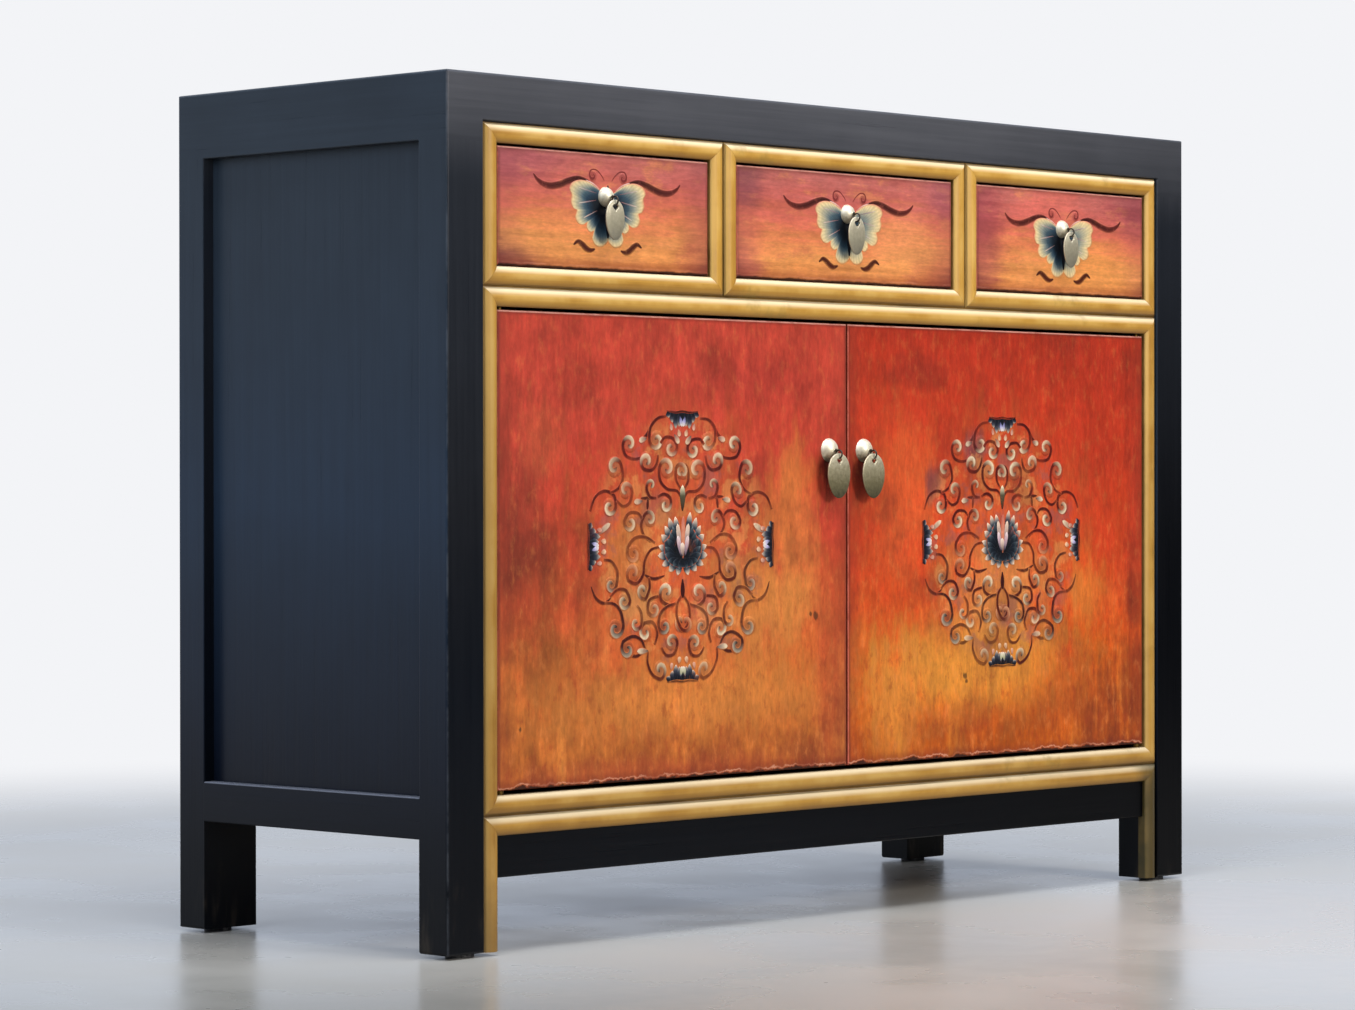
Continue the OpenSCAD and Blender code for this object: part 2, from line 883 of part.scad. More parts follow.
// Battens of the right door, each in its sliding dovetail
module battens() {
    x0 = door_gap_middle / 2 + batten_margin;
    length = door_w - 2 * batten_margin;
    low = batten_h / 2 - 2 * batten_slope;
    for (z = [door_z0 + batten_inset, door_z1 - batten_inset])
        translate([x0, door_back_y - batten_house, z]) rotate([90, 0, 90])
            linear_extrude(height = length)
                polygon([
                    [0, -low - batten_slope],
                    [batten_house, -low],
                    [batten_house, -batten_h / 2],
                    [batten_house + batten_t, -batten_h / 2 + batten_slope],
                    [batten_house + batten_t, batten_h / 2 - batten_slope],
                    [batten_house, batten_h / 2],
                    [batten_house, low],
                    [0, low + batten_slope]
                ]);
}

// The right door, with the hole for its pull
module door_board(pull_in) {
    difference() {
        translate([door_gap_middle / 2 + door_w / 2, door_recess, door_z0])
            eased_board(door_w, door_t, door_z1 - door_z0, front_ease, hinge_ease);
        battens();
        pin_holes();
        translate([door_gap_middle / 2 + pull_in, door_back_y + cut, door_pull_z])
            shank_hole(door_t);
    }
}

module door_left() {
    placed(door_colour) mirror([1, 0, 0]) door_board(pull_in_left);
}

module door_right() {
    placed(door_colour) door_board(pull_in_right);
}

module door_battens_left() {
    placed(raw_wood) mirror([1, 0, 0]) battens();
}

module door_battens_right() {
    placed(raw_wood) battens();
}

// Pulls

// Hole for a shank, from its back end forward
module shank_hole(depth) {
    rotate([90, 0, 0]) cylinder(d = shank_d + 2 * shank_clear, h = depth + 2 * cut);
}

// Distance of the eye and its drop in front of the wood
function drop_stand(boss_h) = boss_h + eye_gap + eye_out;

// Section of a boss with its neck in front and its shank behind, about the height axis
module boss_section(boss_d, boss_h, wood_t) {
    ball_r = (boss_d * boss_d / 4 + boss_h * boss_h) / (2 * boss_h);
    intersection() {
        translate([0, boss_h - ball_r]) circle(r = ball_r);
        square([boss_d, boss_h + cut]);
    }
    square([neck_d / 2, boss_h + eye_gap + eye_r / 2]);
    translate([0, -wood_t - wire_d]) square([shank_d / 2, wood_t + wire_d + boss_h / 2]);
}

// Domed boss with a bent eye and a clenched shank, from the face of the wood
module pull(boss_d, boss_h, wood_t) {
    rotate([90, 0, 0]) rotate_extrude() boss_section(boss_d, boss_h, wood_t);
    translate([0, -drop_stand(boss_h), -eye_r]) rotate([0, 90, 0])
        rotate_extrude() translate([eye_r, 0]) circle(d = wire_d);
    translate([-clench_l, wood_t, -wire_d / 2]) cube([2 * clench_l, wire_d / 2, wire_d]);
}

// Points of the outline of a drop, from its top round to its left
function drop_outline(width, length) = [
    for (step = [0 : 47])
        let (a = step * 360 / 48, full = 1 + drop_egg * drop_egg / 2)
            [width / 2 * sin(a) * (1 + drop_egg * cos(a)) / full, length / 2 * (cos(a) - 1)]
];

// Egg-shaped drop in its eye, from the middle of its boss on the face of the wood
module drop(width, length, boss_h) {
    translate([0, -drop_stand(boss_h) + drop_t / 2, -drop_hang]) difference() {
        rotate([90, 0, 0]) linear_extrude(height = drop_t)
            translate([0, bridge_h / 2]) polygon(drop_outline(width, length));
        translate([0, cut, -bridge_h / 2 - drop_hole_d / 2]) rotate([90, 0, 0])
            cylinder(d = drop_hole_d, h = drop_t + 2 * cut);
    }
}

module at_door_pull(side) {
    inset = door_gap_middle / 2 + (side < 0 ? pull_in_left : pull_in_right);
    translate([side * inset, door_recess, door_pull_z]) children();
}

module at_drawer_pull(x) {
    translate([x, door_recess, drawer_pull_z]) children();
}

module door_pull_left() {
    placed(pewter) at_door_pull(-1) pull(door_boss_d, door_boss_h, door_t);
}

module door_pull_right() {
    placed(pewter) at_door_pull(1) pull(door_boss_d, door_boss_h, door_t);
}

module door_drop_left() {
    placed(pewter) at_door_pull(-1) drop(door_drop_w, door_drop_l, door_boss_h);
}

module door_drop_right() {
    placed(pewter) at_door_pull(1) drop(door_drop_w, door_drop_l, door_boss_h);
}

// Drawers

// Tails of both sides of a drawer, in the sockets of its front
module drawer_tails(width) {
    pitch = drawer_side_h / tail_count;
    narrow = pitch / 4;
    for (i = [0 : tail_count - 1])
        both_sides() translate([width / 2 - drawer_side_t, 0, drawer_z0 + pitch * (i + 0.5)])
            rotate([90, 0, 90]) linear_extrude(height = drawer_side_t)
                polygon([
                    [drawer_face_back, -narrow],
                    [drawer_face_back, narrow],
                    [drawer_face_back - tail_l, narrow + tail_flare],
                    [drawer_face_back - tail_l, -narrow - tail_flare]
                ]);
}

module drawer_bottom_board(width) {
    half = width / 2 - drawer_side_t + drawer_groove;
    block(
        -half, half, drawer_face_back - drawer_groove, drawer_end,
        drawer_bottom_z, drawer_bottom_z + drawer_bottom_t
    );
}

module drawer_back_board(width) {
    half = width / 2 - drawer_side_t + drawer_groove;
    block(
        -half, half, drawer_end - drawer_back_t, drawer_end,
        drawer_bottom_z + drawer_bottom_t, drawer_z0 + drawer_side_h
    );
}

module drawer_front(x, opening) {
    width = opening - 2 * drawer_gap_side;
    placed(drawer_colour) translate([x, 0, 0]) difference() {
        translate([0, door_recess, drawer_z0])
            eased_board(width, drawer_front_t, drawer_z1 - drawer_z0, front_ease, front_ease);
        drawer_tails(width);
        drawer_bottom_board(width);
        translate([0, drawer_face_back + cut, drawer_pull_z]) shank_hole(drawer_front_t);
    }
}

module drawer_sides(x, opening) {
    width = opening - 2 * drawer_gap_side;
    placed(raw_wood) translate([x, 0, 0]) difference() {
        union() {
            both_sides()
                block(
                    width / 2 - drawer_side_t, width / 2, drawer_face_back, drawer_end,
                    drawer_z0, drawer_z0 + drawer_side_h
                );
            drawer_tails(width);
        }
        drawer_bottom_board(width);
        drawer_back_board(width);
    }
}

module drawer_back(x, opening) {
    placed(raw_wood) translate([x, 0, 0]) drawer_back_board(opening - 2 * drawer_gap_side);
}

module drawer_bottom(x, opening) {
    placed(plain_board) translate([x, 0, 0]) drawer_bottom_board(opening - 2 * drawer_gap_side);
}

module drawer_pull(x) {
    placed(pewter) at_drawer_pull(x) pull(drawer_boss_d, drawer_boss_h, drawer_front_t);
}

module drawer_drop(x) {
    placed(pewter) at_drawer_pull(x) drop(drawer_drop_w, drawer_drop_l, drawer_boss_h);
}

post_front_left();
post_front_right();
post_back_left();
post_back_right();
top_rail_front();
top_rail_back();
top_rail_left();
top_rail_right();
top_panel();
side_panel_left();
side_panel_right();
side_rail_left();
side_rail_right();
middle_rail_front();
middle_rail_back();
bottom_rail_front();
bottom_rail_back();
drawer_stiles();
drawer_runners();
back_panel();
floor_panel();
shelf();
shelf_cleats();
apron();
bead_drawer_left();
bead_drawer_middle();
bead_drawer_right();
bead_doors();
bead_apron();
pivot_sockets();
door_catches();
foot_glides();
door_left();
door_battens_left();
door_pivots_left();
door_pull_left();
door_drop_left();
door_right();
door_battens_right();
door_pivots_right();
door_pull_right();
door_drop_right();
drawer_front(-outer_x, drawer_open_w);  // drawer_left_front
drawer_sides(-outer_x, drawer_open_w);  // drawer_left_sides
drawer_back(-outer_x, drawer_open_w);  // drawer_left_back
drawer_bottom(-outer_x, drawer_open_w);  // drawer_left_bottom
drawer_pull(-outer_x);  // drawer_left_pull
drawer_drop(-outer_x);  // drawer_left_drop
drawer_front(0, middle_open_w);  // drawer_middle_front
drawer_sides(0, middle_open_w);  // drawer_middle_sides
drawer_back(0, middle_open_w);  // drawer_middle_back
drawer_bottom(0, middle_open_w);  // drawer_middle_bottom
drawer_pull(0);  // drawer_middle_pull
drawer_drop(0);  // drawer_middle_drop
drawer_front(outer_x, drawer_open_w);  // drawer_right_front
drawer_sides(outer_x, drawer_open_w);  // drawer_right_sides
drawer_back(outer_x, drawer_open_w);  // drawer_right_back
drawer_bottom(outer_x, drawer_open_w);  // drawer_right_bottom
drawer_pull(outer_x);  // drawer_right_pull
drawer_drop(outer_x);  // drawer_right_drop
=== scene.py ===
"""Looks of a painted credenza: aged red doors and drawers in gold beads and a dark frame.

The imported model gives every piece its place. This script gives them their finishes, paints the ornament
as thin brush strokes, models the drops of the pulls, and sets the floor, the lights and the camera. X runs
to the right, Y towards the back and Z up, in metres. Ornament is drawn in millimetres from its own middle.
"""

import math

import bpy
import numpy as np
from mathutils import Euler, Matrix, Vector


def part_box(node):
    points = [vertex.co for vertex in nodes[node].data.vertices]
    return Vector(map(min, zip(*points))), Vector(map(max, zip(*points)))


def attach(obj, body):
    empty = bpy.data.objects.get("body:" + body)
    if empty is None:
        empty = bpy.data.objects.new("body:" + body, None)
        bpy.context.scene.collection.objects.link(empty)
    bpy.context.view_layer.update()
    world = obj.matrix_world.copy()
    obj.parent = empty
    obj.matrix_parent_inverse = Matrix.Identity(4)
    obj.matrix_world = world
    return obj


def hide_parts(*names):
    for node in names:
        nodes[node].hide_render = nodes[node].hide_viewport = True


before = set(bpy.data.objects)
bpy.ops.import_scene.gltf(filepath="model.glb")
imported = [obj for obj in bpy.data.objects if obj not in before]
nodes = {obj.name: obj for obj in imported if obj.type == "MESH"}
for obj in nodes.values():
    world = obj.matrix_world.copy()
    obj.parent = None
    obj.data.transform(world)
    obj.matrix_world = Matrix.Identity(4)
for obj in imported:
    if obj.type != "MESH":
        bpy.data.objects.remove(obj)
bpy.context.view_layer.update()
MM = 0.001
SIDES = ("left", "right")
DRAWERS = ("left", "middle", "right")

# Faces that the finishes and the ornament are measured from
door_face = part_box("door_left")[0].y
case_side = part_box("post_front_right")[1].x
case_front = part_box("post_front_right")[0].y
case_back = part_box("post_back_right")[1].y
case_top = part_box("top_rail_front")[1].z
bead_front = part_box("bead_doors")[0].y


def linear(code):
    """Linear colour from a six-digit sRGB code."""
    parts = [int(code[i : i + 2], 16) / 255 for i in (0, 2, 4)]
    return tuple(v / 12.92 if v <= 0.04045 else ((v + 0.055) / 1.055) ** 2.4 for v in parts) + (1,)


class Nodes:
    """Short calls that build a node tree. Each call returns the node or socket to use next."""

    def __init__(self, tree):
        self.tree = tree

    def put(self, socket, value):
        if isinstance(value, bpy.types.NodeSocket):
            self.tree.links.new(value, socket)
        else:
            socket.default_value = linear(value) if isinstance(value, str) else value

    def node(self, kind, *values, **settings):
        """New node, with values or sockets for its first inputs."""
        made = self.tree.nodes.new("ShaderNode" + kind)
        for key, value in settings.items():
            setattr(made, key, value)
        for socket, value in zip(made.inputs, values):
            self.put(socket, value)
        return made

    def math(self, operation, first, *others):
        """One value from one, or from several taken two at a time."""
        for other in others or (0,):
            first = self.node("Math", first, other, operation=operation).outputs[0]
        return first

    def vector(self, operation, *values):
        return self.node("VectorMath", *values, operation=operation).outputs

    def add(self, *values):
        return self.math("ADD", *values)

    def less(self, a, b):
        return self.math("SUBTRACT", a, b)

    def times(self, *values):
        return self.math("MULTIPLY", *values)

    def least(self, *values):
        return self.math("MINIMUM", *values)

    def most(self, *values):
        return self.math("MAXIMUM", *values)

    def absolute(self, value):
        return self.math("ABSOLUTE", value)

    def swing(self, noise, amount):
        """Noise moved to lie about zero, times an amount."""
        return self.times(self.less(noise, 0.5), amount)

    def axes(self, vector):
        return self.node("SeparateXYZ", vector).outputs[:]

    def step(self, value, low, high, start=0, end=1):
        """Smooth step from start to end as the value goes from low to high."""
        made = self.node("MapRange", value, low, high, start, end, interpolation_type="SMOOTHSTEP")
        return made.outputs[0]

    def span(self, distance, low, high, start=0, end=1):
        """Smooth step between two distances in millimetres."""
        return self.step(distance, low * MM, high * MM, start, end)

    def mix(self, share, a, b, blend="MIX"):
        made = self.node("Mix", share, data_type="RGBA", blend_type=blend)
        self.put(made.inputs[6], a)
        self.put(made.inputs[7], b)
        return made.outputs[2]

    def either(self, share, a, b):
        """Shader a, and shader b for a share."""
        return self.node("MixShader", share, a, b).outputs[0]


class Shader(Nodes):
    """A node material, and the tint that its calls build up layer by layer."""

    def __init__(self, name):
        self.material = bpy.data.materials.new(name)
        self.material.use_nodes = True
        super().__init__(self.material.node_tree)
        self.surface = self.tree.nodes["Principled BSDF"]
        where = self.node("TexCoord").outputs
        self.place, self.facing, self.in_box = where["Object"], where["Normal"], where["Generated"]

    def noise(self, scale, seed=0, detail=3, rough=0.55):
        """Noise from 0 to 1, with a scale in waves per metre, or one for each axis."""
        scales = (scale,) * 3 if isinstance(scale, int) else scale
        place = self.vector("MULTIPLY", self.place, scales)[0]
        made = self.node("TexNoise", place, seed, 1, detail, rough, noise_dimensions="4D")
        return made.outputs["Fac"]

    def ramp(self, value, *stops):
        """Colour from a list of (place, colour) stops."""
        made = self.node("ValToRGB", value)
        points = made.color_ramp.elements
        while len(points) < len(stops):
            points.new(0.5)
        for point, (where, tint) in zip(points, stops):
            point.position = where
            point.color = linear(tint)
        return made.outputs[0]

    def from_middle(self, x, z, wide, high):
        """Distance from a place on the front, given in millimetres, as a share of the half sizes."""
        moved = self.vector("SUBTRACT", self.place, (x * MM, 0, z * MM))[0]
        scaled = self.vector("MULTIPLY", moved, (1 / (wide * MM), 0, 1 / (high * MM)))[0]
        return self.vector("LENGTH", scaled)["Value"]

    def lay(self, colour, *shares):
        """Lays a colour over the tint, as strongly as the product of the shares."""
        share = self.times(*shares) if len(shares) > 1 else shares[0]
        self.tint = self.mix(share, self.tint, colour)

    def shade(self, value, low, high):
        """Multiplies the tint by a grey from low to high as the value goes from 0 to 1."""
        level = self.step(value, 0.25, 0.75, low, high)
        grey = self.node("CombineColor", level, level, level).outputs[0]
        self.tint = self.mix(1, self.tint, grey, "MULTIPLY")

    def bump(self, height, depth):
        made = self.node("Bump", 1, depth)
        self.put(made.inputs["Height"], height)
        self.put(self.surface.inputs["Normal"], made.outputs[0])

    def finish(self, rough, specular=0.5, metallic=0):
        """The material, with the tint as its colour."""
        sockets = self.surface.inputs
        self.put(sockets["Base Color"], self.tint)
        self.put(sockets["Roughness"], rough)
        sockets["Specular IOR Level"].default_value = specular
        sockets["Metallic"].default_value = metallic
        return self.material


def grain_scale(along, fine, long):
    """Noise scale of wood grain: long waves along one axis and fine ones across it."""
    return tuple(long if axis == along else fine for axis in "xyz")


# Finishes of the frame and the inside


def edge_distance(s):
    """Distance in metres to the nearest outer edge of the case: the middle one of three face distances."""
    x, y, z = s.axes(s.place)
    beside = s.less(case_side, s.absolute(x))
    ahead = s.least(s.less(y, case_front), s.less(case_back, y))
    above = s.less(case_top, z)
    return s.most(s.least(beside, ahead), s.least(s.most(beside, ahead), above))


def frame_paint(along, rail=None):
    """Dark paint, darker low down and to the right and bluer on the sides as painted shade and light, with
    dust and a painted sheen at the top, rubbed paint and painted highlights at the edges, and a painted
    highlight along the top of a rail.
    """
    s = Shader("frame_paint_" + (rail or along))
    brushed = s.noise(grain_scale(along, 170, 4), 1, 4, 0.6)
    cloud = s.noise(5, 2, 4, 0.6)
    across, _, height = s.axes(s.place)
    turned_x, turned_y, _ = s.axes(s.facing)
    level = s.span(height, 20, 840)
    # Painted shade: the paint darkens towards the bottom, and further to the right and low down, where less
    # light falls
    s.tint = s.ramp(level, (0, "070a10"), (0.2, "0c1119"), (0.5, "1a1c21"), (1, "262a31"))
    s.lay("020204", s.span(across, -300, 560, 0, 0.8), s.span(height, 200, 800, 1, 0.3))
    # Painted light: faces turned to the sides take a lighter, bluer copy of the paint, as under a cool
    # window, darkest low down where the back legs stand in shade
    side = s.ramp(level, (0, "05070c"), (0.1, "101724"), (0.5, "263445"), (1, "2f3841"))
    s.lay(side, s.step(s.absolute(turned_x), 0.4, 0.9))
    s.shade(cloud, 0.88, 1.13)
    s.shade(brushed, 0.91, 1.09)
    # Dust and painted sheen: grey on the front faces at the top, fading to the right as the light falls off
    ahead = s.step(turned_y, -0.9, -0.4, 1, 0)
    dust = s.times(s.span(height, 740, 845), s.step(s.add(brushed, cloud), 0.7, 1.3, 0.7, 1))
    s.lay("5a5b60", dust, s.span(across, 200, 560, 0.85, 0.55), ahead)
    # Rubbed paint with a painted highlight on the outer edges of the case
    worn_and_highlit_edges = s.span(edge_distance(s), 0.5, 2.6, 1, 0)
    chipped = s.step(s.noise((26, 26, 18), 3, 5, 0.65), 0.4, 0.62)
    s.lay("70757c", worn_and_highlit_edges, chipped, 0.32)
    # Painted highlight along the top of a rail, where its ledge catches the light
    if rail:
        s.lay("8a8f9c", s.span(s.less(height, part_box(rail)[1].z), -1.7, -0.7, 0, 0.7))
    scuffed = s.span(s.add(height, s.times(chipped, 40 * MM)), 20, 90, 1, 0)
    s.lay("4a4136", scuffed, s.step(s.noise((60, 60, 12), 4), 0.5, 0.7, 0, 0.45))
    s.bump(brushed, 0.2 * MM)
    return s.finish(s.step(brushed, 0.2, 0.8, 0.26, 0.36), 0.16)


def wood_rings(s, along):
    """Slow waves of the grain, and the ring lines in them."""
    rings = s.noise(grain_scale(along, 38, 1.6), 5, 2, 0.5)
    return rings, s.step(s.math("FRACT", s.times(rings, 9)), 0.1, 0.95)


def bare_wood(name, along, light, dark):
    """Planed wood with its grain along one axis."""
    s = Shader(name + "_" + along)
    fibre = s.noise(grain_scale(along, 420, 14), 6, 3, 0.6)
    s.tint = s.mix(wood_rings(s, along)[1], light, dark)
    s.shade(fibre, 0.85, 1.12)
    s.bump(fibre, 0.15 * MM)
    return s.finish(s.step(fibre, 0.2, 0.8, 0.5, 0.68), 0.35)


def gilt(node):
    """Ochre gold paint on the mitred strips round one opening, with painted highlights on the faces turned up
    and to the left, and painted shade on those turned down and to the right, in the grooves and towards the
    bottom.
    """
    s = Shader("gilt_" + node)
    open_below = node == "bead_apron"
    low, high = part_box(node)
    x, y, z = s.axes(s.place)
    middle_x, middle_z = (low.x + high.x) / 2, (low.z + high.z) / 2
    over = s.less(s.absolute(s.less(x, middle_x)), high.x - middle_x)
    rise = s.less(z, high.z) if open_below else s.less(s.absolute(s.less(z, middle_z)), high.z - middle_z)
    lead = s.less(over, rise)
    upright = s.span(lead, -0.2, 0.2)
    across = s.noise((3, 90, 160), 11, 4, 0.6)
    uprights = s.noise((160, 90, 3), 12, 4, 0.6)
    streak = s.add(s.times(upright, uprights), s.times(s.less(1, upright), across))
    cloud = s.noise(14, 13, 4, 0.6)
    mottle = s.add(s.times(streak, 0.5), s.times(cloud, 0.5))
    s.tint = s.ramp(mottle, (0.34, "a8782c"), (0.5, "c6953c"), (0.66, "d6a74c"))
    turned, _, lift = s.axes(s.facing)
    # Painted light: highlights on the faces turned up and to the left, painted shade on those turned to the
    # right and down
    s.lay("fae6bc", s.step(lift, 0.05, 0.6), s.step(streak, 0.3, 0.6, 0.7, 0.95))
    s.lay("e6c67c", s.step(turned, -0.75, -0.2, 0.45, 0))
    s.lay("7c5c24", s.step(turned, 0.25, 0.8, 0, 0.6))
    s.lay("7a531c", s.step(lift, -0.9, -0.1, 0.85, 0))
    # The gold is rubbed pale on the crown, and painted shade darkens it down in the grooves
    sunk = s.less(y, bead_front)
    s.lay("dfbd70", s.span(sunk, 0, 0.5, 1, 0), s.step(cloud, 0.4, 0.65, 0, 0.35))
    s.lay("5a431c", s.span(sunk, 2.4, 4.6), s.step(cloud, 0.3, 0.6, 0.9, 0.6))
    # Painted shade: a dark line near the outer edge of each strip, standing in for the shade of a groove
    outer = s.times(s.most(over, rise), -1)
    line = s.times(s.span(outer, 0.8, 1.8), s.span(outer, 1.8, 3.4, 1, 0))
    s.lay("5c441a", line, s.step(streak, 0.3, 0.6, 0.75, 0.45))
    s.lay("6d4f20", s.span(s.absolute(lead), 0.1, 0.7, 0.22, 0))
    s.lay("86702e", s.step(s.noise(9, 14, 5, 0.7), 0.56, 0.68, 0, 0.45))
    s.lay("84602f", s.span(x, -530, -500, 0.3, 0))
    if open_below:
        low_right = s.add(s.from_middle(548, 60, 60, 150), s.swing(cloud, 0.8))
        s.lay("3e3a20", s.step(low_right, 0.5, 1.1, 0.9, 0))
        low_left = s.add(s.from_middle(-548, 0, 60, 110), s.swing(cloud, 0.8))
        s.lay("6e5a34", s.step(low_left, 0.3, 1.1, 0.5, 0))
    # Painted shade: darker towards the bottom
    s.shade(s.span(z, 100, 1000), 0.84, 1.04)
    s.bump(streak, 0.2 * MM)
    return s.finish(s.step(cloud, 0.3, 0.7, 0.36, 0.5), 0.4)


# Aged paint of the doors and drawers


def board(s, node):
    """Distances to the left, right, bottom and top edges of a board, and the height as a share."""
    low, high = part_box(node)
    x, _, z = s.axes(s.place)
    below = s.less(z, low.z)
    edges = s.less(x, low.x), s.less(high.x, x), below, s.less(high.z, z)
    return edges, s.times(below, 1 / (high.z - low.z))


def lay_patches(s, patches, ragged, reach):
    """Patches with ragged margins, each with its middle and half sizes in mm, tint and strength."""
    for *place, colour, strength in patches:
        gone = s.add(s.from_middle(*place), ragged)
        s.lay(colour, s.step(gone, 0.25, reach, strength, 0))


def edge_wear_and_highlights(s, blot, edges, burnt):
    """Dark line inside the edges of a board, rubbed pale with a painted highlight on the side arrises, a
    painted highlight along the top edge, chipped and burnt at the bottom.
    """
    left, right, below, above = edges
    ragged = s.noise(60, 31, 5, 0.65)
    dark = s.span(s.least(left, right, above), 1.6, 5.5, 0.6, 0)
    s.lay("5e2118", dark, s.step(blot, 0.35, 0.6, 0.35, 1))
    foot = s.add(below, s.swing(ragged, 16 * MM * burnt))
    s.lay("7a2c1c", s.span(foot, 4, 13, 0.45, 0))
    pale = s.times(s.span(foot, 2.6, 3.4), s.span(foot, 3.4, 5, 0.7 * burnt, 0))
    s.lay("e0a080", pale, s.step(blot, 0.42, 0.56, 0.25, 1))
    s.lay("2e140e", s.span(foot, 1, 2.8, 0.92, 0))
    # Rubbed paint and a painted highlight on the side arrises, and a painted highlight along the top edge
    rubbed = s.span(s.least(left, right), 0.7, 1.9, 1, 0)
    s.lay("d8705a", rubbed, s.step(ragged, 0.42, 0.58, 0.35, 0.8))
    top_edge_highlight = s.span(above, 1, 2.4, 1, 0)
    s.lay("eaa896", top_edge_highlight, s.step(ragged, 0.36, 0.56, 0.45, 0.95))


DOOR_TINTS = {
    "door_left": {
        "seed": 0,
        "stops": (
            (0, "b26024"), (0.14, "c46c2a"), (0.3, "c45a26"),
            (0.5, "bc4224"), (0.7, "ba3c28"), (1, "be402e"),
        ),
        "gold": "d68c3e",
        "centre": (-251.5, 391.5),
        # Middle in mm, half width and half height in mm, tint and strength of each worn or clouded place, and
        # of the painted shadows at the drops
        "patches": (
            (-468, 354, 60, 110, "84341e", 0.5), (-478, 440, 40, 110, "8a3424", 0.6),
            (-427, 255, 90, 70, "9c5a24", 0.5), (-450, 496, 40, 45, "cc5a36", 0.5),
            (-89, 395, 55, 105, "e6803c", 0.8), (-126, 335, 100, 60, "d98a3e", 0.7),
            (-242, 240, 210, 45, "da863a", 0.65), (-320, 390, 60, 50, "c8803c", 0.5),
            (-27, 290, 30, 150, "c44a28", 0.55), (-288, 166, 270, 20, "aa4428", 0.55),
            # (-30, 468) is a painted shadow of the drop on the door, and (-20, 482) painted shade seen
            # through its heart-shaped hole
            (-150, 560, 120, 30, "9e3028", 0.45), (-30, 468, 19, 30, "380e0a", 0.9),
            (-20, 482, 10, 10, "240a08", 0.8), (-219, 328, 26, 24, "8c5058", 0.4),
            (-318, 335, 26, 22, "dca05c", 0.5), (-176, 372, 24, 30, "b4824c", 0.45),
            (-290, 430, 22, 20, "a8645c", 0.35),
        ),
        "spots": ((-480, 216, 3), (-50, 317, 5), (-58, 319, 3)),
    },
    "door_right": {
        "seed": 7,
        "stops": (
            (0, "b0500c"), (0.14, "c85e10"), (0.3, "ca4e12"),
            (0.5, "c83e17"), (0.7, "bb3517"), (1, "b02f18"),
        ),
        "gold": "df9434",
        "centre": (257, 391),
        "patches": (
            (94, 445, 70, 110, "e0602a", 0.65), (220, 258, 190, 65, "e49636", 0.8),
            (400, 335, 45, 45, "dd8632", 0.55), (79, 225, 60, 80, "de8c36", 0.6),
            (195, 198, 110, 26, "a84418", 0.45), (390, 215, 110, 60, "aa4a1a", 0.6),
            (488, 215, 60, 90, "7e3016", 0.6), (124, 575, 60, 25, "8a2a1c", 0.5),
            # (25, 468) is a painted shadow of the drop on the door, and (36, 482) painted shade seen through
            # its heart-shaped hole
            (495, 420, 22, 170, "a02e1c", 0.5), (25, 468, 19, 30, "380e0a", 0.9),
            (36, 482, 10, 10, "240a08", 0.8), (210, 491, 20, 22, "543e4e", 0.65),
            (146, 453, 18, 24, "4e3c4a", 0.65), (252, 335, 110, 60, "dc9a4e", 0.5),
            (252, 315, 26, 20, "96602e", 0.5), (292, 449, 30, 22, "8a3222", 0.5),
        ),
        "spots": ((193, 246, 4.5), (196, 240, 3)),
    },
}


def door_colour(s, node):
    """Red paint that fades to orange and gold towards the bottom, cloudy and streaked, with a painted shadow
    beside each drop.
    """
    look = DOOR_TINTS[node]
    seed = look["seed"]
    edges, height = board(s, node)
    cloud = s.noise((7, 7, 6), seed + 20, 5, 0.62)
    blot = s.noise((26, 26, 20), seed + 21, 5, 0.62)
    runs = s.noise((70, 70, 5), seed + 22, 4, 0.6)
    weave = s.noise((300, 300, 90), seed + 23, 3, 0.6)
    dapple = s.noise((95, 95, 55), seed + 25, 5, 0.7)
    level = s.add(height, s.swing(cloud, 0.75), s.swing(blot, 0.35), s.swing(runs, 0.16))
    s.tint = s.ramp(level, *look["stops"])
    gilding = s.step(s.add(cloud, s.times(runs, 0.35)), 0.66, 0.86)
    s.lay(look["gold"], s.step(height, 0.05, 0.55, 1, 0), gilding, 0.7)
    patches = (*look["centre"], 150, 150, "dc6a34", 0.45), *look["patches"]
    lay_patches(s, patches, s.add(s.swing(blot, 1.8), s.swing(runs, 1.6)), 1.25)
    s.lay("72281a", s.step(s.noise((11, 11, 9), seed + 24, 5, 0.65), 0.48, 0.68, 0, 0.5))
    lower = s.step(height, 0.2, 0.7, 1, 0.5)
    s.lay("de8444", lower, s.step(dapple, 0.5, 0.68, 0, 0.35))
    s.lay("96301a", lower, s.step(dapple, 0.34, 0.48, 0.4, 0))
    smoke = s.noise(34, seed + 26, 4, 0.65)
    round_it = s.step(s.from_middle(*look["centre"], 140, 142), 0.8, 1, 1, 0)
    s.lay("8c5450", round_it, s.step(smoke, 0.52, 0.64, 0, 0.5))
    s.lay("dc9450", round_it, s.step(smoke, 0.38, 0.48, 0.45, 0))
    s.shade(runs, 0.88, 1.11)
    s.shade(weave, 0.85, 1.15)
    s.shade(blot, 0.78, 1.2)
    s.lay("843222", s.span(s.add(s.least(*edges[:2]), s.times(blot, 20 * MM)), 6, 42, 0.42, 0))
    for *spot, size in look["spots"]:
        off = s.add(s.from_middle(*spot, size, size), s.swing(weave, 1.6))
        s.lay("3b2a18", s.step(off, 0.4, 1, 0.75, 0))
    edge_wear_and_highlights(s, blot, edges, 1)


